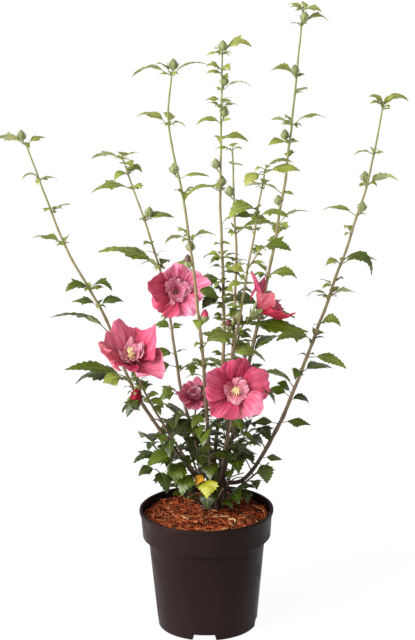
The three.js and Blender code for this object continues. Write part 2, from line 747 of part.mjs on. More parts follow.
function addStems() {
  const boughEnds = {};
  for (const stem of STEMS) {
    const curve = stemCurve(stem);
    const whole = curve.getLength();
    const tipRadius = stem.bloom ? BLOOM_TIP_RADIUS : TIP_RADIUS;
    const radiusAt = (run) => stem.foot + (tipRadius - stem.foot) * run / whole;
    const end = stem.bough;
    const bough = limb(curve, 0, end, (s) => radiusAt(s * end), LIMB_SIDES + 1, 26, true);
    addPiece(`bough_${stem.name}`, bough, "wood");
    fillLimb(curve, 0, end, stem.foot, `bough_${stem.name}`);
    boughEnds[stem.name] = { place: placeAt(curve, end), radius: radiusAt(end) };
    masses.push({ ...stem, curve, start: end + FIT_GAP, whole, startRadius: radiusAt(end), tipRadius });
  }
  for (const twig of SIDE_TWIGS) {
    const end = boughEnds[twig.from];
    const away = at(twig.via[0]).sub(end.place).setZ(0).normalize();
    const start = end.place.clone().addScaledVector(away, end.radius + twig.foot - twig.seat);
    start.z -= 4;
    const curve = new THREE.CatmullRomCurve3([start, ...twig.via.map(at), at(twig.tip)]);
    const whole = curve.getLength();
    const tipRadius = twig.bloom ? BLOOM_TIP_RADIUS : TIP_RADIUS;
    masses.push({ ...twig, curve, start: 0, whole, startRadius: twig.foot, tipRadius });
  }
}

function addSprays() {
  const flank = CROWN_NECK_RADIUS + (CROWN_TOP_RADIUS - CROWN_NECK_RADIUS)
    * (SPRAY_FOOT_HEIGHT - CROWN_FLARE_HEIGHT) / (CROWN_HEIGHT - CROWN_FLARE_HEIGHT);
  for (const spray of SPRAYS) {
    const height = SOIL + SPRAY_FOOT_HEIGHT;
    const middleReach = spray.reach * 0.52;
    const middleRise = spray.rise * 0.42;
    const steepness = Math.sin(Math.atan2(middleRise, middleReach - flank));
    const start = round(spray.turn, flank + SPRAY_FOOT * steepness + FIT_GAP, height, CROWN_CENTRE);
    const middle = round(spray.turn, middleReach, height + middleRise, CROWN_CENTRE);
    const tip = round(spray.turn, spray.reach, height + spray.rise, CROWN_CENTRE);
    const curve = new THREE.CatmullRomCurve3([start, middle, tip]);
    const whole = curve.getLength();
    const limbSizes = { start: 0, whole, startRadius: SPRAY_FOOT, tipRadius: TIP_RADIUS };
    masses.push({ ...spray, isSpray: true, curve, ...limbSizes });
  }
}

// Leaves of a low spray: one to each side by turns, and one at the tip
function growSpray(shapes, mass) {
  const count = Math.floor((mass.whole - SPRAY_FIRST_JOINT) / SPRAY_JOINT);
  for (let joint = 0; joint <= count; joint += 1) {
    const root = placeAt(mass.curve, SPRAY_FIRST_JOINT + joint * SPRAY_JOINT);
    for (const side of [1, -1]) {
      const size = (joint + (side > 0 ? 1 : 0)) % 2 === 0 ? LARGE_BLADE : SMALL_BLADE;
      const seed = mass.seed * SPRAY_SEEDS.mass + joint * SPRAY_SEEDS.joint + side + 2;
      growLeaf(shapes, mass.name, root, mass.turn + side * SPRAY_FAN, size, seed);
    }
  }
  const tip = placeAt(mass.curve, mass.whole - 1);
  const tipSeed = mass.seed * SPRAY_SEEDS.mass + SPRAY_SEEDS.tip;
  growLeaf(shapes, mass.name, tip, mass.turn, LARGE_BLADE, tipSeed);
}

function addMasses() {
  const named = masses.map((mass) => {
    const name = mass.isSpray || mass.bloom ? mass.name : `shoot_${mass.name}`;
    fillLimb(mass.curve, mass.start, mass.whole, mass.startRadius, name);
    return { ...mass, name, shapes: [] };
  });
  for (const mass of named) {
    mass.shapes.push(limb(mass.curve, mass.start, mass.whole, taper(mass.startRadius, mass.tipRadius)));
  }
  for (const { shapes, name, curve, whole, bloom, spent, seed } of named.filter((mass) => mass.bloom)) {
    growBloom(shapes, name, placeAt(curve, whole), bloom, numbersFrom(seed + 5));
    if (spent) {
      growSpent(shapes, placeAt(curve, whole * spent.at), spent.heading);
    }
  }
  for (const mass of named) {
    if (mass.isSpray) {
      growSpray(mass.shapes, mass);
    } else {
      growWords(mass);
    }
    const material = mass.bloom ? "petal" : mass.isSpray ? "lowLeaf" : "leaf";
    addPiece(mass.name, fuse(mass.shapes), material);
  }
}

addPot();
addPottingMix();
addCrown();
addStems();
addSprays();
addMasses();

export default shrub;
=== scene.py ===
# The looks of a hibiscus shrub in bloom, growing in its round black nursery pot.
# The shrub grows here by the same rule as its solids, in millimetres, +Z up, front along -Y.

import math

import bpy
import numpy as np
from mathutils import Matrix, Vector, noise


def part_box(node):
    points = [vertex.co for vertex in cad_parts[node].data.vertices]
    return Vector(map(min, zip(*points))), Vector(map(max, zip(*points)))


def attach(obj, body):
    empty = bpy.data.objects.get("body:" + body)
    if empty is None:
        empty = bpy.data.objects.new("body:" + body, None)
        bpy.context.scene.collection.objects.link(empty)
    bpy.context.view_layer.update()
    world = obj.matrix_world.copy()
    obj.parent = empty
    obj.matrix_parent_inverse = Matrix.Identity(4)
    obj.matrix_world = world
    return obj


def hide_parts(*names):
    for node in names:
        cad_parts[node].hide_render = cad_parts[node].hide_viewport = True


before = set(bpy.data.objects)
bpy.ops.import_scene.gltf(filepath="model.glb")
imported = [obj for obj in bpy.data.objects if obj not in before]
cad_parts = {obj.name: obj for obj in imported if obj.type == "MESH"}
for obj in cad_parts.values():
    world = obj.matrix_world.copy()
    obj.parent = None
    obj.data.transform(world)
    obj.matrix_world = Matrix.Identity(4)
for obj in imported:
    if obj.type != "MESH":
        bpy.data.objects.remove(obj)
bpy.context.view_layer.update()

MM = 0.001
SKY = np.array([0, 0, 1])

# Light of the studio
WORLD_LIGHT = 0.5
FLOOR_GLOW = 0.95
FLOOR_PAINT = 0.06
FLOOR_HALF = 40.0
KEY_LIGHT = 2.62
KEY_SOFTNESS = 24
KEY_FROM = (-1.1, -0.95, 1.0)
SIDE_LIGHT = 62
SIDE_LIGHT_SIZE = 1.3
SIDE_LIGHT_PLACE = (-2.3, -1.0, 0.7)
SIDE_LIGHT_AIM = (0, 0, 0.3)

# Sizes taken from the frame
SOIL = round(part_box("root_crown")[0].z / MM, 1)
CROWN_TOP = round(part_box("root_crown")[1].z / MM, 1)
POT_HEIGHT = round(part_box("pot")[1].z / MM, 1)
FIT_GAP = 0.3

# The pot
LIP_RADIUS = 110
LIP_HEIGHT = 6
BAND_TOP_RADIUS = 107.7
BAND_FOOT_RADIUS = 105.2
BAND_FOOT_HEIGHT = 154.5
BODY_TOP_RADIUS = 95.8
BODY_TOP_HEIGHT = 151.5
BASE_RADIUS = 81.8
WALL = 2.4
FLOOR_PAD_RADIUS = 54
GROOVE_HEIGHT = 10
GROOVE_SLOPE = 3
FOOT_RING_WIDTH = 3.4
NOTCH_WIDTH = 35
NOTCH_HEIGHT = 9.6
NOTCH_COUNT = 4
FRONT_NOTCH_TURN = 266
POT_TURNS = 180

# The crown that the stems rise from
CROWN_CENTRE = (10, 25)
CROWN_HEIGHT = CROWN_TOP - SOIL
CROWN_TOP_RADIUS = 18.8
CROWN_NECK_RADIUS = 20.5
CROWN_FLARE_RADIUS = 25
CROWN_FLARE_HEIGHT = 6
CROWN_SUNK = 4
CROWN_STRETCH = 1.15
CROWN_DOME = 3
ROOT_LOBES = 5
FEET_RADIUS = 14
ELBOW_RISE = 16
ELBOW_SWING = 5
SPRAY_FOOT_HEIGHT = 12
TIP_RADIUS = 1.3
BLOOM_TIP_RADIUS = 1.6
BARK_SHARE = 0.72
BARK_ADDED = 0.3
BOUGH_SIDES = 14
TWIG_SIDES = 10
FINE_TWIG_SIDES = 8

# Leaves: a petiole, then a blade that arches over. A pair is a middle and its swing to either side.
LARGE_BLADE = 54
SMALL_BLADE = 32
LONGER = 1.5
BLADE_SHARE = (1, 0.2)
WIDTH_SHARE = (0.5, 0.05)
PETIOLE_SHARE = (0.24, 0.06)
HEADING_SWING = 34
LEAF_RISE = (38, 16)
LEAF_END = (-42, 24)
LEAF_ROLL = (0, 34)
LOBING = (0.55, 0.6)
FOLD = (14, 10)
CURL = (0.2, 0.2)
WAVE = (0.12, 0.07)
NARROWING_AT = 0.76
LEAF_TRIES = 7
BROAD_LOW = 1.3
BROAD_HIGH = 1.15
SMALLER_ABOVE = 740
SMALLER_SHARE = 0.88
GREEN_ABOVE = 420
QUILTING = 0.022
BARE_START = 8
TWIG_LENGTH = (48, 10)
TWIG_RADII = (1.6, 1.1)
TWIG_ROOM = 4.0
# How far up a side twig each of its leaves stands, how far round from its heading, and its size
TWIG_LEAVES = ((0.97, 0, LARGE_BLADE), (0.62, 75, SMALL_BLADE), (0.9, -70, SMALL_BLADE))

# The space that growth takes, keeps clear and stays in, and the numbers that its seeds come from
LEAF_CLEARANCE = 1.2
LEAVES_OVER_RIM = 8
NEAR_RIM = {"inside": 18, "outside": 10}
REACH = {"left": -324, "right": 330, "front": -232, "back": 258, "top": 1010}
LIMB_SPOT_STEP = 7
NEAR_ENOUGH = 95
OWN_SPACE_SHARE = 0.7
CLEAR_AHEAD = 230
FACE_CLEAR_SHARE = 0.62
FRONT_CLEAR_SHARE = 0.42
TOWARDS_FRONT = (0, -0.96, 0.27)
CURVE_STEPS = 200
RANDOM_STEP = 16807
RANDOM_SPAN = 2 ** 31 - 1
WORD_SEEDS = {"mass": 1009, "joint": 31, "place": 7}
SPRAY_SEEDS = {"mass": 997, "joint": 13, "tip": 501}

# Finer growth: small leaves crowd the joints, and short twigs fill the foot of the shrub
FOOT_TOP = 415
MIDDLE_TOP = 640
FOOT_MIDDLE = -6
FOOT_SPREAD = 78
FOOT_DROOP = math.radians(24)
FINE_FROM = {"bough": 26, "twig": 12}
FINE_STEP = (21, 6)
FINE_CLOSENESS = 0.5
FINE_TRIES = 3
FINE_TWIG_CHANCE = 0.5
FINE_TWIG_LENGTH = (44, 14)
FINE_TWIG_RADII = (1.3, 0.7)
FINE_TWIG_ROOM = 3.0
FINE_TWIG_FAN = 62
FINE_TWIG_LEAVES = ((0.4, 1), (0.65, -1), (0.85, 1), (1.0, -0.2))
FINE_LEAF_CHANCE = 0.15
FINE_LEAF_CROWDING = 0.55
TWIG_LEAF = (37, 9)
LOW_LEAF = (36, 9)
HIGHER_LEAF = (27, 8)
CROWDING_LEAF = (15, 5)
CROWDING_CLOSENESS = 0.3

# Places that stay open to the sky as seen from the front: x, height and how far round
OPEN_PLACES = [
    (52, 250, 14), (84, 250, 16), (128, 232, 34), (136, 304, 30), (84, 300, 10), (118, 356, 30),
    (-49, 254, 11), (-104, 232, 18), (-102, 262, 12), (-122, 322, 12), (-92, 372, 16),
    (252, 880, 16), (14, 662, 14), (34, 256, 9), (62, 815, 12), (80, 606, 15),
]

# Leaves and buds that stand out in the photo, each on its stem at a run in mm
YELLOW = ("leaf_yellow", "leaf_yellow", "leaf_yellow")
AMBER = ("leaf_amber", "leaf_amber", "leaf_yellow")
DARK = ("leaf_dark", "under_deep", "vein_deep")
DEEP = ("leaf_deep", "under_deep", "vein_deep")
MID = ("leaf_mid", "under_fresh", "vein_fresh")
FRESH = ("leaf_fresh", "under_fresh", "vein_fresh")
CHOSEN_WORDS = ("on", "run", "heading", "rise", "end", "roll", "petiole", "blade", "width", "tints")
CHOSEN_LEAVES = [
    ("front", 46, 262, -6, -80, 14, 18, 36, 29, YELLOW),
    ("front", 50, 226, 0, -78, -8, 16, 24, 15, AMBER),
    ("front", 30, 262, -20, -96, 4, 20, 34, 23, DARK),
    ("left_bloom", 50, 238, 8, -92, -10, 16, 44, 25, DEEP),
    ("left", 60, 226, -4, -84, 16, 14, 30, 20, DEEP),
    ("left_bloom", 74, 226, 4, -62, -28, 12, 44, 30, DEEP),
    ("back", 60, 262, 6, -80, 20, 30, 36, 25, DEEP),
    ("left_bloom", 280, 190, 22, -12, -26, 48, 74, 22, DEEP),
    ("left_bloom", 280, 204, 16, -40, -34, 34, 30, 26, MID),
    ("left", 96, 205, 6, -40, -24, 16, 46, 26, DEEP),
    ("right", 452, 344, 42, -108, 24, 10, 66, 19, DEEP),
    ("right", 286, 344, 6, -44, 24, 16, 54, 22, MID),
    ("right", 214, 172, 34, -30, -26, 12, 32, 19, DEEP),
    ("right", 218, 196, 58, 10, -36, 10, 26, 18, DEEP),
    ("right", 166, 184, 10, -16, -26, 12, 34, 16, DARK),
    ("right", 168, 350, 8, -20, 28, 12, 40, 16, DEEP),
    ("right", 100, 352, 6, -22, 24, 10, 26, 14, DEEP),
    ("right", 92, 300, -20, -96, 10, 10, 34, 24, DEEP),
    ("right_bloom", 50, 342, 0, -10, 30, 14, 92, 25, DEEP),
    ("right", 714, 356, 52, -56, 22, 6, 48, 17, FRESH),
    ("right", 712, 178, 66, -16, -24, 5, 28, 17, FRESH),
    ("right", 708, 10, 66, -24, 18, 4, 34, 16, FRESH),
    ("right", 706, 214, 62, -30, -18, 4, 30, 15, FRESH),
    ("right", 704, 300, 60, -40, 12, 4, 24, 14, FRESH),
    ("right_front", 268, 196, 26, -66, -20, 8, 46, 28, MID),
    ("back", 358, 190, 16, -54, -22, 8, 46, 26, DEEP),
    ("back", 330, 196, 8, -72, -20, 8, 36, 27, DARK),
    ("front", 396, 348, 14, -66, 22, 6, 34, 24, DEEP),
    ("back", 612, 184, 34, -52, -20, 6, 44, 17, FRESH),
    ("back", 586, 352, 24, -44, 22, 8, 46, 20, FRESH),
    ("back", 648, 182, 30, -40, -20, 5, 26, 15, FRESH),
    ("back", 690, 186, 40, -44, -18, 4, 28, 15, FRESH),
    ("back", 684, 292, 44, -50, 12, 4, 22, 14, FRESH),
    ("right_front", 330, 345, 24, -24, 26, 12, 52, 24, FRESH),
    ("right_front", 328, 212, 6, -74, -16, 10, 36, 26, FRESH),
    ("left_back", 560, 300, 44, -60, 14, 4, 30, 19, FRESH),
    ("left_back", 552, 350, 36, -74, 16, 4, 28, 17, FRESH),
    ("left_back", 542, 205, 34, -84, -14, 4, 28, 17, MID),
    ("left_back", 216, 200, 20, -50, -26, 14, 36, 24, DEEP),
    ("left_back", 238, 215, 24, -64, -20, 10, 30, 22, DEEP),
]
CHOSEN_BUDS = [
    ("front", 335, 0, "bud_pink"),
    ("front", 430, 190, "bud_dusk"),
    ("middle", 290, 215, "bud_red"),
]

# Buds and flowers
BUD_LENGTH = 17
BUD_STALK = 9
BUD_LEAN = 0.25
BUD_BODY_RADIUS = 6.6
PETAL_COUNT = 5
PETALOID_COUNT = 3
PETAL_REACH = 1.1
PETAL_LENGTH = (PETAL_REACH, 0.05)
PETAL_WIDTH = (0.94, 0.06)
PETALOID_LENGTH = (0.56, 0.08)
PETALOID_WIDTH = (0.4, 0.06)
PETALOID_OPEN = (58, 14)
PETAL_GRID = (28, 29)
PETALOID_GRID = (14, 13)
GOLDEN_TURN = 137.5
STAMEN_COUNT = 66
STAMEN_ROWS = 11
SEPAL_COUNT = 5
BRACT_COUNT = 7
BRACT_WIDTH = 2.2
HEART_SHARE = 0.8
CALYX_LENGTH = 15
COLUMN_LENGTH = 27
PETAL_START = math.radians(30)
PETAL_OPEN = math.radians(92)
SPENT_FLOWER = {"on": "left_bloom", "at": 0.86, "heading": 238}

# Petals of the blooms that are folded or seen from the side. Each has its place round the flower, where 0
# is uppermost and 90 the left, how far it leans out at its foot and at its rim, its size and its paint.
PETAL_WORDS = ("turn", "start", "open", "length", "width", "paint")
LEFT_PETALS = [
    (50, 24, 54, 63, 74, "petal_pale"),
    (312, 26, 66, 62, 78, "petal"),
    (242, 54, 118, 60, 68, "petal_pale"),
    (92, 24, 58, 66, 66, "petal_salmon"),
    (156, 28, 62, 50, 58, "petal_deep"),
]
RIGHT_PETALS = [
    (304, 24, 46, 60, 62, "petal_deep"),
    (230, 30, 62, 56, 48, "petal"),
    (2, 32, 84, 72, 42, "petal"),
    (62, 34, 50, 46, 48, "petal_salmon"),
    (136, 40, 64, 53, 56, "petal_red"),
]
# The low bloom stands in shade, so its paints are a step lighter than its own colour, as painted light.
LOW_PETALS = [
    (60, 24, 58, 32, 38, "petal_pale"),
    (330, 24, 56, 30, 38, "petal_pale"),
    (112, 34, 90, 34, 40, "petal_painted_light"),
    (186, 44, 112, 33, 40, "petal_painted_light"),
    (250, 40, 104, 31, 36, "petal_pale"),
]

# Directions of a leaf letter, in degrees round the plant
SIDES = {"l": 180, "r": 0, "f": 270, "b": 90}

# The stems. Each rises from its turn round the crown in degrees, with a foot radius, by way of a few
# places to its tip. The bough is its bare lower stretch, and the rest is a leafy mass. The leaf words go
# up the mass at even steps: l, r, f and b put a leaf to the left, right, front or back, a capital makes it
# a large one and a star after it a longer one, o is a bud, < and > are side twigs, and a point is a bare
# joint.
STEM_WORDS = ("name", "turn", "foot", "bough", "seed", "via", "tip", "leaves")
STEMS = [
    ("left", 192, 4.2, 130, 11, [(-113, -72, 428), (-156, -86, 553), (-210, -92, 659)], (-268, -80, 820),
     "lR L lr . r L*l . . L*> . lr lrf . . Lb . rf . lrf . Lrroo"),
    ("left_back", 112, 4, 350, 23, [(-37, 60, 372), (-71, 100, 572)], (-131, 150, 754),
     "b L*l . . Rob . Lf rb Llrb"),
    ("front", 262, 4.2, 125, 37, [(-4, -80, 494), (-30, -130, 744), (-50, -148, 866)], (-44, -160, 936),
     "LF r Lb RF l . Rb . lf . Rl . o lrb . . rf oR . . Lorb . . LRloo"),
    ("back", 80, 4.4, 140, 41, [(31, 46, 468), (28, 85, 699)], (33, 110, 930),
     "BL Rb lB R Lb r Lb LRf . lRb . lrf . Lob o . Rf Lo lrb Ro lf Rlboo"),
    ("middle", 331, 4.3, 268, 53, [(47, -22, 521), (51, -12, 636)], (46, -20, 797),
     "l ob . r . f . LRb . o . f Rlbo"),
    ("right_back", 40, 4.6, 140, 67, [(66, 66, 395), (130, 132, 690)], (166, 188, 990),
     "RB L Bb R l Rb L . Rlb . B Rf o Lo . b lof lRb . f Lo . . Rob lrbfo"),
    ("right", 6, 4.6, 118, 79,
     [(60, 21, 240), (116, 22, 327), (199, 30, 542), (262, 36, 736)], (286, 40, 860),
     "LRf r lRb . Ll Rf . Lb r . lrb . lRf . b Lo . Rob . lf . . LRrlbo"),
    ("left_bloom", 227, 3.2, 105, 83, [(-62, -46, 350), (-88, -82, 412)], (-112, -104, 474),
     "L r LF . l . ."),
    ("front_bloom", 298, 3.2, 100, 97, [(32, -38, 318), (43, -54, 375)], (47, -64, 418), "R L f r ."),
    ("low_bloom", 152, 3, 80, 101, [(-16, 16, 300), (-18, 14, 345)], (-14, 8, 376), "B l r ."),
]

# Twigs that part from a bough's tip beside the mass that goes on from it. The seat is how much nearer
# than two round limbs their flat sides let them lie.
TWIG_WORDS = ("name", "from", "foot", "seat", "seed", "via", "tip", "leaves")
SIDE_TWIGS = [
    ("centre_left_bloom", "left_back", 2.2, -0.8, 113, [(-59, 82, 540)], (-47, 66, 549), "r ."),
    ("right_bloom", "middle", 2.2, 0.2, 127, [(60, -16, 512)], (74, -36, 536), ". b . r"),
    ("right_front", "middle", 2.8, 0.7, 131, [(64, -84, 598)], (94, -128, 788),
     ". . r f . rl > . b lRf . lb LRro"),
]

# Open flowers: the way each faces, its size, how full its heart is and how far its petals cup
BLOOMS = {
    "left_bloom": {"facing": (-0.08, -0.7, 0.71), "turned": (-0.06, -0.56, 0.82), "size": 57, "fullness": 0.7,
                   "cupping": 8, "inner_open": 62, "shapes": LEFT_PETALS, "paints": ("petal",)},
    "front_bloom": {"facing": (0.05, -0.93, 0.36), "size": 57, "fullness": 0.25, "cupping": 0,
                    "paints": ("petal_deep", "petal", "petal", "petal_pale", "petal")},
    # The low bloom's lightest paint is painted light for its place in shade.
    "low_bloom": {"facing": (-0.1, -0.5, 0.86), "size": 36, "fullness": 1.0, "cupping": 26,
                  "inner_open": 34, "shapes": LOW_PETALS, "paints": ("petal_painted_light",)},
    # The centre left bloom faces the light less, and its lighter paints are painted light.
    "centre_left_bloom": {"facing": (0.1, -0.94, 0.3), "size": 52, "fullness": 1.0, "cupping": 4,
                          "paints": ("petal_painted_light", "petal", "petal", "petal_painted_light", "petal_painted_light")},
    "right_bloom": {"facing": (0.8, 0.14, 0.58), "size": 50, "fullness": 0.7, "cupping": 24,
                    "inner_reach": 1.35, "inner_open": 26, "shapes": RIGHT_PETALS,
                    "paints": ("petal_salmon",)},
}

# Short leafy sprays that fill the foot of the shrub: where each stands round the crown and leans to
SPRAY_WORDS = ("name", "turn", "reach", "rise", "seed")
SPRAYS = [
    ("spray_right", 345, 96, 76, 211),
    ("spray_right_back", 25, 72, 132, 223),
    ("spray_back", 68, 64, 92, 227),
    ("spray_left_back", 132, 80, 118, 229),
    ("spray_left", 172, 100, 98, 233),
    ("spray_left_front", 210, 96, 60, 239),
    ("spray_front_left", 245, 66, 128, 241),
    ("spray_front", 280, 98, 58, 251),
    ("spray_right_front", 315, 74, 120, 257),
]
SPRAY_FOOT = 2.3
SPRAY_JOINT = 17
SPRAY_BARE = 14
SPRAY_FAN = 64


def unit(vector):
    return vector / np.linalg.norm(vector, axis=-1, keepdims=True)


def round_place(turn, radius, height, centre=(0, 0)):
    angle = math.radians(turn)
    return np.array([centre[0] + radius * math.cos(angle), centre[1] + radius * math.sin(angle), height])


def numbers_from(seed):
    """Repeatable numbers from 0 to 1."""
    state = seed
    while True:
        state = state * RANDOM_STEP % RANDOM_SPAN
        yield state / RANDOM_SPAN


def some_seed(draw):
    return int(next(draw) * 1e6) + 1


def spread(draw, middle, swing):
    return middle + swing * (2 * next(draw) - 1)


class Curve:
    """Smooth curve through a few places, a centripetal spline that is measured along its length."""

    def __init__(self, places):
        knots = np.array(places, float)
        knots = np.vstack([2 * knots[0] - knots[1], knots, 2 * knots[-1] - knots[-2]])
        steps = np.sum(np.diff(knots, axis=0) ** 2, axis=1) ** 0.25
        before, here, after = steps[:-2, None], steps[1:-1, None], steps[2:, None]
        p0, p1, p2, p3 = knots[:-3], knots[1:-2], knots[2:-1], knots[3:]
        leave = here * ((p1 - p0) / before - (p2 - p0) / (before + here) + (p2 - p1) / here)
        arrive = here * ((p2 - p1) / here - (p3 - p1) / (here + after) + (p3 - p2) / after)
        bend = -3 * p1 + 3 * p2 - 2 * leave - arrive
        self.terms = np.stack([p1, leave, bend, 2 * p1 - 2 * p2 + leave + arrive], axis=1)
        self.shares = np.linspace(0, 1, CURVE_STEPS + 1)
        steps_along = np.linalg.norm(np.diff(self.at_share(self.shares), axis=0), axis=1)
        self.runs = np.concatenate([[0], np.cumsum(steps_along)])
        self.length = self.runs[-1]

    def at_share(self, share):
        whole = np.asarray(share) * len(self.terms)
        part = np.minimum(whole.astype(int), len(self.terms) - 1)
        over = (whole - part)[..., None]
        place = self.terms[part][..., 3, :]
        for power in (2, 1, 0):
            place = self.terms[part][..., power, :] + over * place
        return place

    def at(self, run):
        return self.at_share(np.interp(run, self.runs, self.shares))


# What grows, kept as plans until the meshes are made
leaves, limbs, buds, blooms = [], [], [], []

# Views kept clear, and places already filled, so that every mass keeps to its own space
kept_clear = []
filled = {
    "centre": np.empty((0, 3)),
    "radius": np.empty(0),
    "owner": np.empty(0, int),
    "limb": np.empty(0, bool),
}
owner_numbers = {}


def fill(centres, radii, owner, is_limb):
    number = owner_numbers.setdefault(owner, len(owner_numbers))
    filled["centre"] = np.vstack([filled["centre"], centres])
    for word, value in (("radius", radii), ("owner", number), ("limb", is_limb)):
        filled[word] = np.append(filled[word], np.broadcast_to(value, len(centres)))


def fill_limb(curve, start, end, radius, owner):
    count = math.ceil((end - start) / LIMB_SPOT_STEP)
    fill(curve.at(np.linspace(start, end, count + 1)), radius, owner, True)


def is_free(centres, radii, owner, closeness):
    """Whether there is room. A closeness under 1 lets leaves stand nearer to each other."""
    near = np.all(np.abs(filled["centre"] - centres.mean(axis=0)) < NEAR_ENOUGH, axis=1)
    own = filled["owner"] == owner_numbers.get(owner, -1)
    keep = near & ~(own & filled["limb"])
    share = np.where(own, OWN_SPACE_SHARE, 1.0)[keep] * closeness
    room = (np.reshape(radii, (-1, 1)) + filled["radius"][keep]) * share + LEAF_CLEARANCE * closeness
    gaps = np.linalg.norm(centres[:, None, :] - filled["centre"][keep], axis=2)
    return bool(np.all(gaps > room))


def keep_clear(place, direction, radius):
    """Keeps the view of a place open along a direction."""
    kept_clear.append((place, np.array(direction), radius))


def hides_view(centres):
    """Whether a leaf would stand before the face of an open flower or another place kept clear."""
    for place, direction, radius in kept_clear:
        away = centres - place
        ahead = away @ direction
        aside = np.linalg.norm(away - np.outer(ahead, direction), axis=1)
        if np.any((ahead > 0) & (ahead < CLEAR_AHEAD) & (aside < radius)):
            return True
    return False


def is_open(centres):
    """Whether a leaf would fill a place that stays open to the sky."""
    x, z = centres[:, 0], centres[:, 2]
    return any(np.any(np.hypot(x - place, z - height) < reach) for place, height, reach in OPEN_PLACES)


def is_in_reach(centres, radii):
    x, y, z = centres.T
    from_rim = np.hypot(x, y) - LIP_RADIUS
    over_rim = (from_rim < NEAR_RIM["outside"]) & (from_rim > -NEAR_RIM["inside"])
    floor = np.where(over_rim, POT_HEIGHT, SOIL) + LEAVES_OVER_RIM
    inside = (x > REACH["left"]) & (x < REACH["right"]) & (y > REACH["front"]) & (y < REACH["back"])
    return bool(np.all(inside & (z + radii < REACH["top"]) & (z - 1 > floor)))


def take_room(centres, radii, owner, is_limb, closeness=1.0):
    """Fills the spots of a growth if they are in reach and free, and says whether they were."""
    has_room = is_in_reach(centres, radii) and is_free(centres, radii, owner, closeness)
    if has_room:
        fill(centres, radii, owner, is_limb)
    return has_room


def midrib(leaf, run):
    """Centres and axes of a leaf at runs in mm: straight along the petiole, then arching to its tip."""
    run = np.asarray(run, float)
    rise, heading, roll = leaf["rise"], leaf["heading"], leaf["roll"]
    bend = (leaf["end"] - rise) / leaf["blade"]
    angle = rise + bend * np.maximum(0, run - leaf["petiole"])
    straight = np.minimum(run, leaf["petiole"])
    out = straight * math.cos(rise) + (np.sin(angle) - math.sin(rise)) / bend
    up = straight * math.sin(rise) - (np.cos(angle) - math.cos(rise)) / bend
    ahead = np.array([math.cos(heading), math.sin(heading), 0])
    level = np.array([-ahead[1], ahead[0], 0])
    over = SKY * np.cos(angle)[..., None] - ahead * np.sin(angle)[..., None]
    centre = leaf["root"] + ahead * out[..., None] + SKY * up[..., None]
    side = level * math.cos(roll) + over * math.sin(roll)
    return centre, side, over * math.cos(roll) - level * math.sin(roll)


def plan_leaf(root, turn, size, draw, droop=0.0):
    """A seeded leaf at a joint of a limb. Droop is how far it hangs down, in radians."""
    blade = spread(draw, *BLADE_SHARE) * size
    return {
        "root": root,
        "heading": math.radians(spread(draw, turn, HEADING_SWING)),
        "rise": math.radians(spread(draw, *LEAF_RISE)) - droop,
        "end": math.radians(spread(draw, *LEAF_END)) - droop,
        "roll": math.radians(spread(draw, *LEAF_ROLL)),
        "petiole": blade * spread(draw, *PETIOLE_SHARE),
        "blade": blade,
        "width": blade * spread(draw, *WIDTH_SHARE),
    }


SPOT_SHARES = np.array([0.15, 0.38, 0.62, 0.86, 1.0])
SPOT_ACROSS = np.array([-0.7, 0.0, 0.7])
SPOT_REACH = np.where(SPOT_SHARES > NARROWING_AT, 0.4, 0.8)
SPOT_RADIUS = np.where(SPOT_SHARES > NARROWING_AT, 0.12, 0.2)


def leaf_spots(leaf):
    """Round spots that a leaf fills: three across it at each share of its blade, and one at its tip."""
    centre, side, _ = midrib(leaf, leaf["petiole"] + leaf["blade"] * SPOT_SHARES)
    half = leaf["width"] * 0.5 * SPOT_REACH
    radius = leaf["width"] * SPOT_RADIUS
    spots = centre[:, None, :] + side[:, None, :] * (half[:, None] * SPOT_ACROSS)[..., None]
    body = spots[:-1].reshape(-1, 3)
    return np.vstack([body, centre[-1]]), np.append(np.repeat(radius[:-1], 3), radius[-1])


def plan_bud(root, turn, point):
    """Bud on a short stalk that leans out beside its stem."""
    out = round_place(turn, BUD_STALK * 0.75, BUD_STALK * 0.8)
    tip = root + out
    top = tip + np.array([out[0] * BUD_LEAN, out[1] * BUD_LEAN, BUD_LENGTH])
    return {"root": root, "tip": tip, "top": top, "turn": turn, "point": point}


def grow_leaf(owner, root, turn, size, seed, closeness=1.0, tries=LEAF_TRIES, droop=0.0):
    """Tries a leaf at a joint, turning it a little until it has room, and skips it if it finds none."""
    draw = numbers_from(seed)
    for attempt in range(tries):
        leaf = plan_leaf(root, spread(draw, turn, 5 * attempt), size, draw, droop)
        centres, radii = leaf_spots(leaf)
        if take_room(centres, radii, owner, False, closeness):
            if not hides_view(centres) and not is_open(centres):
                leaves.append({**leaf, "owner": owner, "seed": seed})
            return


def grow_bud(owner, root, draw):
    bud = plan_bud(root, spread(draw, 180, 180), "bud_green")
    middle = (bud["tip"] + bud["top"]) / 2
    if take_room(middle[None, :], np.array([BUD_LENGTH * 0.5]), owner, False):
        buds.append(bud)


def grow_twig(owner, root, turn, seed):
    """Side twig with a leaf at its tip and one on each flank."""
    draw = numbers_from(seed)
    heading = spread(draw, turn, 20)
    length = spread(draw, *TWIG_LENGTH)
    tip = root + round_place(heading, length * 0.55, length * 0.83)
    centres = root + (tip - root) * np.array([[0.5], [0.75], [1.0]])
    if not take_room(centres, np.full(3, TWIG_ROOM), owner, True):
        return
    count = len(leaves)
    for number, (share, side, size) in enumerate(TWIG_LEAVES, 1):
        grow_leaf(owner, root + (tip - root) * share, heading + side, size, seed + number)
    if len(leaves) > count:
        limbs.append((Curve([root, tip]), TWIG_RADII))


def flower_axes(facing):
    axis = unit(np.array(facing, float))
    first = unit(SKY - axis * axis[2])
    return axis, first, np.cross(axis, first)


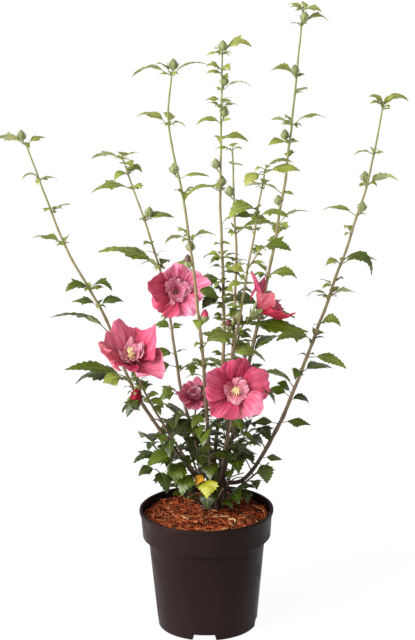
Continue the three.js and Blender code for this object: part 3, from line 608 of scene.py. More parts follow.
def petal_place(base, axes, petal, along, across):
    """Places on a petal: shares along it from 0 to 1 and across it from -1 to 1."""
    axis, first, second = axes
    bend = petal["open"] - petal["start"]
    angle = petal["start"] + bend * along
    out = petal["length"] * (math.cos(petal["start"]) - np.cos(angle)) / bend
    forward = petal["length"] * (np.sin(angle) - math.sin(petal["start"])) / bend
    radial = first * math.cos(petal["turn"]) + second * math.sin(petal["turn"])
    beside = -first * math.sin(petal["turn"]) + second * math.cos(petal["turn"])
    rim = 1 - 0.2 * across * across * along
    half = petal["width"] / 2 * (0.1 + 0.9 * np.sin(math.pi / 2 * np.minimum(1, 1.3 * along)) ** 1.5)
    return (
        base
        + radial * (2.5 + out * rim)[..., None]
        + axis * (forward * rim + across * petal["twist"] * half)[..., None]
        + beside * (across * half)[..., None]
    )


def grow_bloom(mass, bloom):
    """Open flower: five broad petals and short inner petals, whose space is marked as filled."""
    draw = numbers_from(mass["seed"] + 5)
    base, size = mass["curve"].at(mass["whole"]), bloom["size"]
    axes = flower_axes(bloom["facing"])
    heart = base + axes[0] * CALYX_LENGTH * HEART_SHARE
    petals, petaloids = [], []
    for i in range(PETAL_COUNT):
        petals.append({
            "turn": math.radians(360 / PETAL_COUNT * i + spread(draw, 0, 7)),
            "length": size * spread(draw, *PETAL_LENGTH),
            "width": size * spread(draw, *PETAL_WIDTH),
            "start": PETAL_START,
            "open": PETAL_OPEN + math.radians(spread(draw, 0, 10)),
        })
    for i in range(PETALOID_COUNT):
        petaloids.append({
            "turn": math.radians(360 / PETALOID_COUNT * (i + 0.5) + spread(draw, 0, 12)),
            "length": size * spread(draw, *PETALOID_LENGTH),
            "width": size * spread(draw, *PETALOID_WIDTH),
            "start": math.radians(12),
            "open": math.radians(spread(draw, *PETALOID_OPEN)),
            "twist": 0.1,
        })
    blooms.append({**bloom, "base": base, "petals": petals, "petaloids": petaloids})
    keep_clear(heart, axes[0], size * FACE_CLEAR_SHARE)
    keep_clear(heart, TOWARDS_FRONT, size * FRONT_CLEAR_SHARE)
    ray = {"start": PETAL_START, "open": PETAL_OPEN, "twist": 0, "length": size * PETAL_REACH, "width": 0}
    for reach in (0.3, 0.75, 1.1):
        for turn in range(0, 360, 36):
            turned = {**ray, "turn": math.radians(turn)}
            place = petal_place(heart, axes, turned, np.array(reach), np.array(0.0))
            fill(place[None, :], size * 0.2, mass["node"], False)


def grow_words(mass):
    """Leaves, buds and twigs at even steps up a limb, as its words say."""
    joints = mass["leaves"].split(" ")
    draw = numbers_from(mass["seed"])
    owner, first = mass["node"], mass["start"] + BARE_START
    last = mass["whole"] - 1
    for joint, letters in enumerate(joints):
        is_last = joint + 1 == len(joints)
        run = first + (last - first) * joint / (len(joints) - 1) + spread(draw, 0, 0 if is_last else 4)
        root = mass["curve"].at(max(mass["start"] + BARE_START / 2, run))
        first_seed = mass["seed"] * WORD_SEEDS["mass"] + joint * WORD_SEEDS["joint"] + 1
        for place, letter in enumerate(letters):
            seed = first_seed + place * WORD_SEEDS["place"]
            size = SMALL_BLADE if letter.islower() else LARGE_BLADE
            if letters[place + 1:place + 2] == "*":
                size *= LONGER
            if letter.lower() in SIDES:
                grow_leaf(owner, root, SIDES[letter.lower()], size, seed)
            elif letter == "o":
                grow_bud(owner, root, draw)
            elif letter in "<>":
                grow_twig(owner, root, SIDES["l" if letter == "<" else "r"], seed)


def grow_spray(mass):
    """Leaves of a low spray: one to each side by turns, and one at the tip."""
    first_seed = mass["seed"] * SPRAY_SEEDS["mass"]
    for joint in range(math.floor((mass["whole"] - SPRAY_BARE) / SPRAY_JOINT) + 1):
        root = mass["curve"].at(SPRAY_BARE + joint * SPRAY_JOINT)
        for side in (1, -1):
            size = LARGE_BLADE if (joint + (side > 0)) % 2 == 0 else SMALL_BLADE
            seed = first_seed + joint * SPRAY_SEEDS["joint"] + side + 2
            grow_leaf(mass["node"], root, mass["turn"] + side * SPRAY_FAN, size, seed)
    tip = mass["curve"].at(mass["whole"] - 1)
    grow_leaf(mass["node"], tip, mass["turn"], LARGE_BLADE, first_seed + SPRAY_SEEDS["tip"])


def stem_curve(stem):
    if stem["name"] == "back":
        foot, swing = np.array([*CROWN_CENTRE, CROWN_TOP + FIT_GAP]), 0
    else:
        foot, swing = round_place(stem["turn"], FEET_RADIUS, CROWN_TOP + FIT_GAP, CROWN_CENTRE), ELBOW_SWING
    elbow = foot + round_place(stem["turn"], swing, ELBOW_RISE)
    return Curve([foot, elbow, *stem["via"], stem["tip"]])


def plan_masses():
    """The limb of every mass, in the order in which they take their space."""
    masses, bough_ends = [], {}
    for row in STEMS:
        stem = dict(zip(STEM_WORDS, row))
        curve = stem_curve(stem)
        tip_radius = BLOOM_TIP_RADIUS if stem["name"] in BLOOMS else TIP_RADIUS
        end = stem["bough"]
        end_radius = stem["foot"] + (tip_radius - stem["foot"]) * end / curve.length
        fill_limb(curve, 0, end, stem["foot"], "bough_" + stem["name"])
        bough_ends[stem["name"]] = curve.at(end), end_radius
        masses.append({**stem, "curve": curve, "start": end + FIT_GAP, "radii": (end_radius, tip_radius)})
    for row in SIDE_TWIGS:
        twig = dict(zip(TWIG_WORDS, row))
        place, radius = bough_ends[twig["from"]]
        away = (np.array(twig["via"][0]) - place) * (1, 1, 0)
        start = place + unit(away) * (radius + twig["foot"] - twig["seat"]) - (0, 0, 4)
        tip_radius = BLOOM_TIP_RADIUS if twig["name"] in BLOOMS else TIP_RADIUS
        curve = Curve([start, *twig["via"], twig["tip"]])
        masses.append({**twig, "curve": curve, "start": 0, "radii": (twig["foot"], tip_radius)})
    neck_share = (SPRAY_FOOT_HEIGHT - CROWN_FLARE_HEIGHT) / (CROWN_HEIGHT - CROWN_FLARE_HEIGHT)
    flank = CROWN_NECK_RADIUS + (CROWN_TOP_RADIUS - CROWN_NECK_RADIUS) * neck_share
    height = SOIL + SPRAY_FOOT_HEIGHT
    for row in SPRAYS:
        spray = dict(zip(SPRAY_WORDS, row))
        reach, rise = spray["reach"], spray["rise"]
        steepness = math.sin(math.atan2(rise * 0.42, reach * 0.52 - flank))
        foot = flank + SPRAY_FOOT * steepness + FIT_GAP
        steps = ((foot, 0), (reach * 0.52, rise * 0.42), (reach, rise))
        curve = Curve([round_place(spray["turn"], out, height + up, CROWN_CENTRE) for out, up in steps])
        masses.append({**spray, "curve": curve, "start": 0, "radii": (SPRAY_FOOT, TIP_RADIUS)})
    for mass in masses:
        is_shoot = "leaves" in mass and mass["name"] not in BLOOMS
        mass["node"] = "shoot_" + mass["name"] if is_shoot else mass["name"]
        mass["whole"] = mass["curve"].length
    return masses


def grow_flowers(masses):
    for mass in masses:
        fill_limb(mass["curve"], mass["start"], mass["whole"], mass["radii"][0], mass["node"])
    for mass in masses:
        if mass["name"] in BLOOMS:
            grow_bloom(mass, BLOOMS[mass["name"]])


def add_petal(piece, heart, axes, petal, grid_size, ruffle, thickness, draw):
    """Petal with a round, waved rim, soft folds that run along it and a rim that turns in or out."""
    rows, columns = grid_size
    along = np.linspace(0, 1, rows)[:, None] * np.ones(columns)
    across = np.ones((rows, 1)) * np.linspace(-1, 1, columns)
    phase = spread(draw, 0, 3)
    swing = spread(draw, 1, 0.35)
    turned = spread(draw, 0, 0.16)
    notch = 0.05 * np.sin(4.3 * across + phase) + 0.018 * np.sin(15 * across + 2 * phase)
    cap = petal.get("roundness", 0.27) * (1 - np.sqrt(1 - 0.94 * across ** 2))
    reach = along * (1 - (cap - notch) * along ** 2)
    waves = np.sin(4.2 * across + 2 * phase) + 0.6 * np.sin(9 * across - phase + 3 * along)
    folds = 0.22 * np.sin(17 * across + 4 * np.sin(3 * along + phase)) + 0.1 * np.sin(31 * across + 7 * along)
    lift = petal["width"] * ruffle * swing * (waves * along ** 2.2 + folds * along)
    lift += petal["width"] * (turned * along ** 4 - 0.12 * (1 - across ** 2) * np.sin(math.pi * along))
    grid = petal_place(heart, axes, petal, reach, across) + axes[0] * lift[..., None]
    uv = np.stack([across * 0.5 + 0.5 + phase, along], axis=2)
    # Most inner petals take the petaloid paint, partly their own pink and partly painted light against the
    # shade of their cup.
    paint = petal.get("paint") or ("petaloid" if next(draw) < 0.75 else petal["rest"])
    add_sheet(piece, grid, thickness, paint, paint, None, uv)


def grow_masses(masses):
    for mass in masses:
        if "leaves" in mass:
            grow_words(mass)
        else:
            grow_spray(mass)


def grow_fine_twig(owner, root, turn, draw):
    """Short leafy twig in the foot of the shrub, with leaves to each side by turns."""
    length = spread(draw, *FINE_TWIG_LENGTH)
    tip = root + round_place(turn, length * 0.8, length * spread(draw, 0.45, 0.25))
    centres = root + (tip - root) * np.array([[0.6], [1.0]])
    if not is_in_reach(centres, np.full(2, FINE_TWIG_ROOM)) or hides_view(centres):
        return
    curve = Curve([root, (root + tip) / 2 + (0, 0, spread(draw, 3, 2)), tip])
    limbs.append((curve, FINE_TWIG_RADII))
    for share, side in FINE_TWIG_LEAVES:
        size = spread(draw, *TWIG_LEAF)
        seed = some_seed(draw)
        place, heading = curve.at(curve.length * share), turn + side * FINE_TWIG_FAN
        grow_leaf(owner, place, heading, size, seed, FINE_CLOSENESS, FINE_TRIES, FOOT_DROOP)


def grow_finer(masses):
    """Growth too fine for the solids, up every stem: twigs at the foot, leaves above it, and small
    leaves that crowd the joints near the top."""
    for mass in masses:
        draw = numbers_from(mass["seed"] * 7 + 3)
        run = FINE_FROM["bough"] if "bough" in mass else FINE_FROM["twig"]
        root = mass["curve"].at(run)
        while root[2] < MIDDLE_TOP and run < mass["whole"] - 4:
            crowding = math.exp(-(((root[0] - FOOT_MIDDLE) / FOOT_SPREAD) ** 2))
            turn = spread(draw, 180, 180)
            seed = some_seed(draw)
            chance = next(draw)
            is_low = root[2] < FOOT_TOP
            if is_low and chance < FINE_TWIG_CHANCE * crowding:
                grow_fine_twig(mass["node"], root, turn, draw)
            elif chance < FINE_LEAF_CHANCE + FINE_LEAF_CROWDING * crowding:
                size = spread(draw, *(LOW_LEAF if is_low else HIGHER_LEAF))
                droop = FOOT_DROOP if is_low else 0
                grow_leaf(mass["node"], root, turn, size, seed, FINE_CLOSENESS, FINE_TRIES, droop)
            run += spread(draw, *FINE_STEP)
            root = mass["curve"].at(run)
    for leaf in [leaf for leaf in leaves if leaf["root"][2] > FOOT_TOP]:
        draw = numbers_from(leaf["seed"] + 77)
        for _ in range(2):
            turn = math.degrees(leaf["heading"]) + spread(draw, 180, 120)
            seed = some_seed(draw)
            size = spread(draw, *CROWDING_LEAF)
            grow_leaf(leaf["owner"], leaf["root"], turn, size, seed, CROWDING_CLOSENESS, 2)


def grow_chosen(masses):
    """The leaves and buds that stand out, each at its place on its stem."""
    by_name = {mass["name"]: mass for mass in masses}
    for number, words in enumerate(CHOSEN_LEAVES):
        chosen = dict(zip(CHOSEN_WORDS, words))
        mass = by_name[chosen["on"]]
        angles = {part: math.radians(chosen[part]) for part in ("heading", "rise", "end", "roll")}
        leaf = {**chosen, **angles, "root": mass["curve"].at(chosen["run"]), "owner": mass["node"],
                "seed": 500 + number}
        leaves.append(leaf)
        centres, radii = leaf_spots(leaf)
        fill(centres, radii, mass["node"], False)
        keep_clear(centres.mean(axis=0), TOWARDS_FRONT, chosen["width"] * FRONT_CLEAR_SHARE)
    for name, run, turn, point in CHOSEN_BUDS:
        buds.append(plan_bud(by_name[name]["curve"].at(run), turn, point))


# Colours and materials

materials = {}

# Roughness and specular level of the leaves
GLOSSY = (0.3, 0.55)
MATT = (0.42, 0.42)


def colour(red, green, blue):
    """Colour of a paint value from 0 to 255 in each of its parts."""
    parts = [value / 255 for value in (red, green, blue)]
    return tuple(v / 12.92 if v < 0.04045 else ((v + 0.055) / 1.055) ** 2.4 for v in parts) + (1,)


def new_material(name, paint, roughness, specular):
    made = materials[name] = bpy.data.materials.new(name)
    made.use_nodes = True
    shader = made.node_tree.nodes["Principled BSDF"]
    shader.inputs["Base Color"].default_value = paint
    shader.inputs["Roughness"].default_value = roughness
    shader.inputs["Specular IOR Level"].default_value = specular
    return made.node_tree, shader


def add_node(tree, kind, output, **inputs):
    """Adds a shader node, whose inputs are linked to a socket or set to a value, and gives its output."""
    node = tree.nodes.new("ShaderNode" + kind)
    for name, value in inputs.items():
        if isinstance(value, bpy.types.NodeSocket):
            tree.links.new(value, node.inputs[name])
        else:
            node.inputs[name].default_value = value
    return node.outputs[output]


def add_noise(tree, scale, detail, stretch=(1, 1, 1), source=None):
    """Noise over the piece, in details to the metre, or over another source of places."""
    source = source or add_node(tree, "TexCoord", "Object")
    place = add_node(tree, "Mapping", "Vector", Vector=source, Scale=stretch)
    return add_node(tree, "TexNoise", "Fac", Vector=place, Scale=scale, Detail=detail)


def weighed(tree, *parts):
    """Sum of factors, each times its share."""
    total = None
    for factor, share in parts:
        node = tree.nodes.new("ShaderNodeMath")
        node.operation = "MULTIPLY_ADD" if total else "MULTIPLY"
        node.inputs[1].default_value = share
        tree.links.new(factor, node.inputs[0])
        if total:
            tree.links.new(total, node.inputs[2])
        total = node.outputs["Value"]
    return total


def ramp(tree, factor, stops, target):
    """Leads colours at their places along a factor to a target."""
    node = tree.nodes.new("ShaderNodeValToRGB")
    elements = node.color_ramp.elements
    while len(elements) < len(stops):
        elements.new(0.5)
    for element, (place, paint) in zip(elements, stops):
        element.position = place
        element.color = paint
    tree.links.new(factor, node.inputs["Fac"])
    tree.links.new(node.outputs["Color"], target)


def grey(value):
    return (value, value, value, 1)


def add_bump(tree, shader, height, distance, strength):
    normal = add_node(tree, "Bump", "Normal", Height=height, Distance=distance, Strength=strength)
    tree.links.new(normal, shader.inputs["Normal"])


def shade(paint, factor):
    return tuple(min(1, part * factor) for part in paint[:3]) + (1,)


def leaf_material(name, paint):
    roughness, specular = GLOSSY if name in ("leaf_dark", "leaf_deep") else MATT
    tree, shader = new_material(name, paint, roughness, specular)
    stops = [(0.3, shade(paint, 0.78)), (0.7, shade(paint, 1.2))]
    ramp(tree, add_noise(tree, 90, 3), stops, shader.inputs["Base Color"])
    add_bump(tree, shader, add_noise(tree, 900, 2), 0.0006, 0.5)


def plastic_material():
    tree, shader = new_material("pot_plastic", colour(29, 17, 16), 0.55, 0.08)
    clouds = [(0.3, colour(28, 16, 15)), (0.75, colour(39, 25, 24))]
    wear = [(0.35, grey(0.38)), (0.7, grey(0.58))]
    ramp(tree, add_noise(tree, 9, 5), clouds, shader.inputs["Base Color"])
    ramp(tree, add_noise(tree, 35, 8), wear, shader.inputs["Roughness"])
    add_bump(tree, shader, add_noise(tree, 1400, 2), 0.0002, 0.35)


def bark_material():
    """Dark brown at the foot, tan higher up and green at the young tips, with long fine ridges."""
    tree, shader = new_material("stem_bark", colour(110, 90, 70), 0.7, 0.3)
    height = add_node(tree, "SeparateXYZ", "Z", Vector=add_node(tree, "TexCoord", "Object"))
    streaks = add_noise(tree, 160, 5, (1, 1, 0.14))
    stops = [
        (0.34, colour(68, 52, 44)),
        (0.5, colour(106, 88, 70)),
        (0.66, colour(140, 122, 92)),
        (0.86, colour(142, 132, 92)),
        (1.0, colour(136, 142, 84)),
    ]
    ramp(tree, weighed(tree, (height, 1), (streaks, 0.32)), stops, shader.inputs["Base Color"])
    add_bump(tree, shader, streaks, 0.0008, 0.8)


def petal_material(name, deep, body, light):
    """Deep crimson at the heart, partly the petal's own eye and partly painted shade where the petals meet at
    the base, lighter to the rim, clouded, with fine veins that run along the petal.
    """
    tree, shader = new_material(name, body, 0.6, 0.15)
    shader.inputs["Subsurface Weight"].default_value = 0.4
    shader.inputs["Subsurface Radius"].default_value = (1, 0.3, 0.26)
    shader.inputs["Subsurface Scale"].default_value = 0.0015
    place = tree.nodes.new("ShaderNodeUVMap")
    place.uv_map = "petal_map"
    uv = place.outputs["UV"]
    veins = add_noise(tree, 1.6, 4, (36, 1.3, 1), uv)
    along = add_node(tree, "SeparateXYZ", "Y", Vector=uv)
    mixed = weighed(tree, (along, 0.26), (add_noise(tree, 70, 3), 0.3), (veins, 0.88))
    # The deep stop at the foot of the petal is partly painted shade of the throat.
    ramp(tree, mixed, [(0.52, deep), (0.67, body), (0.99, light)], shader.inputs["Base Color"])
    add_bump(tree, shader, veins, 0.0028, 1)


def mulch_material(name, paint):
    tree, shader = new_material(name, paint, 0.85, 0.2)
    streaks = add_noise(tree, 420, 5)
    stops = [(0.3, shade(paint, 0.6)), (0.75, shade(paint, 1.35))]
    ramp(tree, streaks, stops, shader.inputs["Base Color"])
    add_bump(tree, shader, streaks, 0.001, 0.8)


LEAF_PAINTS = {
    "leaf_dark": (46, 60, 7),
    "leaf_deep": (77, 94, 14),
    "leaf_mid": (120, 132, 48),
    "leaf_fresh": (138, 144, 62),
    "leaf_young": (154, 158, 78),
    "under_deep": (104, 114, 52),
    "under_fresh": (156, 160, 100),
    "vein_deep": (110, 122, 48),
    "vein_fresh": (168, 172, 104),
    "leaf_yellow": (160, 158, 28),
    "leaf_amber": (228, 160, 34),
    "bud_green": (134, 142, 92),
    "bract_green": (106, 116, 62),
    "twig_green": (134, 136, 84),
    "twig_dark": (84, 78, 48),
    "bud_red": (96, 26, 40),
    "bud_pink": (190, 60, 96),
    "bud_dusk": (104, 74, 66),
}
MULCH_PAINTS = {
    "mulch_dark": (78, 36, 16),
    "mulch_red": (134, 54, 22),
    "mulch_orange": (170, 80, 40),
    "mulch_tan": (198, 124, 80),
    "mulch_pale": (230, 190, 134),
}
# Heart, body and rim of each kind of petal. The heart is partly the flower's own crimson eye and partly
# painted shade where the petals meet.
PETAL_PAINTS = {
    "petal_deep": ((120, 6, 34), (180, 40, 78), (214, 98, 128)),
    "petal": ((140, 14, 46), (204, 64, 100), (228, 122, 150)),
    "petal_pale": ((148, 24, 58), (206, 86, 116), (230, 146, 168)),
    # A lit copy of the petal paint: painted light for blooms that stand in shade.
    "petal_painted_light": ((176, 30, 70), (242, 102, 144), (255, 186, 210)),
    "petal_salmon": ((150, 24, 46), (200, 74, 92), (232, 146, 156)),
    "petal_red": ((124, 8, 28), (176, 34, 58), (206, 76, 98)),
    # The inner petals' own lighter pink, made lighter still as painted light against the shade of their cup
    # of petals.
    "petaloid": ((230, 84, 116), (255, 134, 160), (255, 196, 210)),
    "petal_spent": ((92, 6, 18), (150, 18, 42), (186, 52, 78)),
}
LEAF_TOPS = ("leaf_dark", "leaf_deep", "leaf_mid", "leaf_fresh", "leaf_young")


def make_materials():
    for name, paint in LEAF_PAINTS.items():
        leaf_material(name, colour(*paint))
    for name, paint in MULCH_PAINTS.items():
        mulch_material(name, colour(*paint))
    for name, paints in PETAL_PAINTS.items():
        petal_material(name, *[colour(*paint) for paint in paints])
    plastic_material()
    bark_material()
    new_material("stamen", colour(236, 222, 160), 0.6, 0.3)
    new_material("pollen", colour(244, 232, 176), 0.8, 0.2)


# Meshes

def put_in_scene(name, data):
    made = bpy.data.objects.new(name, data)
    bpy.context.scene.collection.objects.link(made)
    return made


class Piece:
    """Mesh joined from many parts, whose places are in mm."""

    def __init__(self, name):
        self.name = name
        self.places, self.maps, self.corners, self.sizes, self.kinds = [], [], [], [], []
        self.count = 0

    def add(self, places, faces, material, uv=None):
        """Adds a part. Its faces are arrays of corner numbers, three or four to a face, and all have one
        material or each its own."""
        for block in faces:
            self.corners.append(block.ravel() + self.count)
            self.sizes.append(np.full(len(block), block.shape[1]))
            self.kinds.extend([material] * len(block) if isinstance(material, str) else material)
        self.places.append(places)
        self.maps.append(np.zeros((len(places), 2)) if uv is None else uv)
        self.count += len(places)

    def build(self, sharp_angle=45):
        """Its mesh object, in metres, with sharp edges beyond an angle in degrees."""
        corners, sizes = np.concatenate(self.corners), np.concatenate(self.sizes)
        names, kinds = np.unique(self.kinds, return_inverse=True)
        mesh = bpy.data.meshes.new(self.name)
        mesh.vertices.add(self.count)
        mesh.loops.add(len(corners))
        mesh.polygons.add(len(sizes))
        mesh.vertices.foreach_set("co", (np.vstack(self.places) * MM).astype(np.float32).ravel())
        mesh.loops.foreach_set("vertex_index", corners.astype(np.int32))
        mesh.polygons.foreach_set("loop_start", (np.cumsum(sizes) - sizes).astype(np.int32))
        mesh.polygons.foreach_set("material_index", kinds.astype(np.int32))
        for name in names:
            mesh.materials.append(materials[name])
        if any(name.startswith("petal") for name in names):
            layer = mesh.uv_layers.new(name="petal_map")
            layer.data.foreach_set("uv", np.vstack(self.maps)[corners].astype(np.float32).ravel())
        mesh.update(calc_edges=True)
        mesh.validate()
        mesh.shade_smooth()
        mesh.set_sharp_from_angle(angle=math.radians(sharp_angle))
        return put_in_scene(self.name, mesh)


def turns_round(count):
    return 2 * math.pi * np.arange(count) / count


def show(made, slot, *nodes):
    """Sets a finished piece on the plant's body, in place of the solids it stands for."""
    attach(made, "root")
    if nodes:
        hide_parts(*nodes)


def grid_faces(rows, columns, wrap=False):
    """Quads of a grid of corners. A wrapped grid closes round its columns."""
    across = columns if wrap else columns - 1
    row, column = np.divmod(np.arange((rows - 1) * across), across)
    beside = (column + 1) % columns
    here, there = row * columns, (row + 1) * columns
    return np.stack([here + column, here + beside, there + beside, there + column], axis=1)


def add_skin(piece, rings, middles, material):
    """Closed skin through rings of places, with a place in the middle of its first and last ring."""
    count, sides = rings.shape[:2]
    ring = np.arange(sides)
    after = (ring + 1) % sides
    last = (count - 1) * sides
    foot = np.full(sides, count * sides)
    caps = np.vstack([
        np.stack([foot, after, ring], axis=1),
        np.stack([foot + 1, last + ring, last + after], axis=1),
    ])
    places = np.vstack([rings.reshape(-1, 3), middles])
    piece.add(places, [grid_faces(count, sides, True), caps], material)


def add_tube(piece, centres, radii, sides, material, relief=0):
    """Round limb through centres, closed at both ends. Relief is a share of the radius for each corner."""
    centres = np.asarray(centres, float)
    along = unit(np.gradient(centres, axis=0))
    across = np.empty_like(centres)
    carried = np.array([1, 0.2, 0])
    for i, direction in enumerate(along):
        carried = carried - direction * (carried @ direction)
        carried = carried / np.linalg.norm(carried)
        across[i] = carried
    turns = turns_round(sides)[:, None]
    rays = across[:, None, :] * np.cos(turns) + np.cross(along, across)[:, None, :] * np.sin(turns)
    reach = np.reshape(radii, (-1, 1)) * np.ones(sides) * (1 + relief)
    add_skin(piece, centres[:, None, :] + rays * reach[..., None], centres[[0, -1]], material)


def add_sheet(piece, grid, thickness, over, under, middle=None, uv=None):
    """Thin closed body on a grid of places, full inside and sharp at its rim. The middle column of quads
    may have a material of its own."""
    rows, columns = grid.shape[:2]
    normal = np.cross(np.gradient(grid, axis=0), np.gradient(grid, axis=1))
    normal = normal / (np.linalg.norm(normal, axis=2, keepdims=True) + 1e-9)
    lift = normal * thickness / 2
    inside = np.zeros((rows, columns), bool)
    inside[1:-1, 1:-1] = True
    upper = np.where(inside[..., None], grid + lift, grid).reshape(-1, 3)
    lower = (grid - lift)[inside]
    numbers = np.arange(rows * columns)
    numbers[inside.ravel()] = rows * columns + np.arange(len(lower))
    quads = grid_faces(rows, columns)
    is_middle = np.arange(len(quads)) % (columns - 1) == (columns - 1) // 2
    names = np.where(is_middle, middle or over, over).tolist()
    halves = np.vstack([quads[:, :3], quads[:, [0, 2, 3]]])
    faces = np.vstack([halves[:, ::-1], numbers[halves]])
    both_maps = None if uv is None else np.vstack([uv.reshape(-1, 2), uv[inside]])
    piece.add(np.vstack([upper, lower]), [faces], names * 2 + [under] * len(halves), both_maps)


def height_share(place):
    """How high a place is on the plant, from 0 at the soil to 1 at the top."""
    return (place[2] - SOIL) / (REACH["top"] - SOIL)


# A leaf's outline in rows from its base to its tip: a wedge, then coarse teeth
LARGE_LEAF = {
    "rows": 17,
    "columns": (-1, -0.5, -0.06, 0.06, 0.5, 1),
    "lobes": (1.24, 0.82, 0.72, 0.84, 0.92, 0.96),
}
SMALL_LEAF = {"rows": 11, "columns": (-1, -0.08, 0.08, 1), "lobes": (1.2, 0.74, 0.86)}
SMALL_UNDER = 24
WIDEST = 0.42


def leaf_outline(build, lobing):
    """Where each row meets the midrib and the rim, and how wide it is. Lobing goes from 0 to 1."""
    row = np.arange(build["rows"])
    share = row / (build["rows"] - 1)
    is_tooth = (row % 2 == 1) & (row >= 3)
    lobe = round(WIDEST * (build["rows"] - 1))
    wedge = np.sin(math.pi / 2 * np.minimum(1, share / WIDEST)) ** 1.1
    point = (np.maximum(0, 1 - share) / (1 - WIDEST)) ** 0.95
    width = np.where(share < WIDEST, wedge, point)
    width = width * np.where(is_tooth, 1.08, np.where(row > 3, 0.86, 1))
    depth = np.array(build["lobes"])
    width[lobe:lobe + len(depth)] *= 1 + (depth - 1) * lobing
    rim = share + 0.02 * is_tooth
    rim[lobe] += 0.07 * lobing
    rim[lobe + 1] += 0.02 * lobing
    rim[-1] = 1
    width[0], width[-1] = 0.05, 0.02
    root = np.maximum.accumulate(np.maximum(0, share - 0.3 * width))
    root[0], root[-1] = 0, 0.985
    return root, rim, width, is_tooth


def leaf_tints(leaf, draw):
    """Paint of a leaf's upper side, underside and midrib, by its height on the plant."""
    step = height_share(leaf["root"]) * 4.4 + spread(draw, 0, 0.9)
    if leaf["blade"] < 30:
        step += 0.5
    top = LEAF_TOPS[int(min(4, max(0, step)))]
    return (top, "under_deep", "vein_deep") if step < 2 else (top, "under_fresh", "vein_fresh")


def add_leaf(piece, stalks, leaf):
    draw = numbers_from(leaf["seed"] * 3 + 7)
    height = leaf["root"][2]
    smaller = SMALLER_SHARE if height > SMALLER_ABOVE else 1
    leaf = {**leaf, "blade": leaf["blade"] * smaller, "width": leaf["width"] * smaller}
    tints = leaf.get("tints") or leaf_tints(leaf, draw)
    build = SMALL_LEAF if leaf["blade"] < SMALL_UNDER else LARGE_LEAF
    root, rim, width, is_tooth = leaf_outline(build, max(0, min(1, spread(draw, *LOBING))))
    across = np.array(build["columns"])[None, :]
    reach = np.abs(across)
    share = root[:, None] + (rim - root)[:, None] * reach
    centre, side, over = midrib(leaf, leaf["petiole"] + leaf["blade"] * share)
    whole_width = leaf["width"] * (BROAD_LOW + (BROAD_HIGH - BROAD_LOW) * height_share(leaf["root"]))
    half = whole_width / 2 * width[:, None]
    fold = math.tan(math.radians(spread(draw, *FOLD)))
    curl = spread(draw, *CURL)
    phase = spread(draw, 0, math.pi)
    wave = spread(draw, *WAVE)
    lift = half * reach * fold - half * curl * reach ** 3
    lift += half * wave * np.sin(9 * share + phase + np.sign(across)) * reach ** 2
    quilting = np.where(is_tooth, -1.0, 1.0)[:, None] * (1 - (2 * reach - 1) ** 2) * QUILTING
    lift += whole_width * quilting * np.minimum(1, width[:, None] * 2)
    grid = centre + side * (half * across)[..., None] + over * lift[..., None]
    thickness = np.where(reach < 0.1, 0.9, 0.45) * np.ones_like(share) * min(1, leaf["blade"] / 40)
    add_sheet(piece, grid, thickness[..., None], *tints)
    stalk = midrib(leaf, np.array([0, 0.5, 1]) * leaf["petiole"] + np.array([-1.0, 0, 1.5]))[0]
    stalk[:, 2] += np.array([0, -0.04, 0]) * leaf["petiole"]
    thick = 0.5 + leaf["blade"] / 110
    paint = "twig_green" if height > GREEN_ABOVE else "twig_dark"
    add_tube(stalks, stalk, [thick * 1.25, thick * 0.85, thick * 0.7], 5, paint)


def add_stem(piece, curve, radii, seed, sides, joints=()):
    """Limb with bark relief: ridges along it, a swelling at each joint and small knots."""
    count = max(4, int(curve.length / 4))
    runs = np.linspace(0, curve.length, count)
    radius = (radii[0] + (radii[1] - radii[0]) * (runs / curve.length)) * BARK_SHARE + BARK_ADDED
    for joint in joints:
        radius = radius * (1 + 0.16 * np.exp(-((runs - joint) / 4.5) ** 2))
    relief = np.empty((count, sides))
    for i, run in enumerate(runs):
        for k, turn in enumerate(turns_round(sides)):
            spot = Vector((math.cos(turn) * 1.6, math.sin(turn) * 1.6, run * 0.06 + seed * 7.3))
            relief[i, k] = 0.13 * noise.noise(spot) + 0.05 * noise.noise(spot * 3.7)
    wobble = np.zeros((count, 3))
    for i, run in enumerate(runs):
        wobble[i, 0] = noise.noise(Vector((run * 0.02, seed * 3.1, 0)))
        wobble[i, 1] = noise.noise(Vector((run * 0.02, 0, seed * 5.7)))
    ease = np.minimum(1, np.minimum(runs, curve.length - runs) / 20)[:, None]
    add_tube(piece, curve.at(runs) + wobble * 1.6 * ease, radius, sides, "stem_bark", relief)


def add_bract(piece, base, axis, beside, length, width, lean, curl, material, under, rows=6):
    """Narrow leaflet that leans out from an axis and curls back in or out."""
    share = np.linspace(0, 1, rows)
    angle = lean + curl * share
    out = np.cumsum(np.sin(angle)) / rows * length
    up = np.cumsum(np.cos(angle)) / rows * length
    away = np.cross(beside, axis)
    spine = base + away * out[:, None] + axis * up[:, None]
    half = width / 2 * np.sin(math.pi * np.minimum(0.97, 0.2 + 0.8 * share)) ** 0.8
    grid = spine[:, None, :] + beside * (half[:, None] * np.array([-1, 0, 1]))[..., None]
    grid[:, 1, :] -= away * (half * 0.35)[:, None]
    add_sheet(piece, grid, 0.5, material, under)


def ring_of(axis, count, start=0.0):
    """Evenly turned directions round an axis, each with the one beside it."""
    first = unit(np.cross(axis, (0.3, 0.9, 0.25)))
    second = np.cross(axis, first)
    for turn in start + turns_round(count):
        cosine, sine = math.cos(turn), math.sin(turn)
        yield first * cosine + second * sine, second * cosine - first * sine


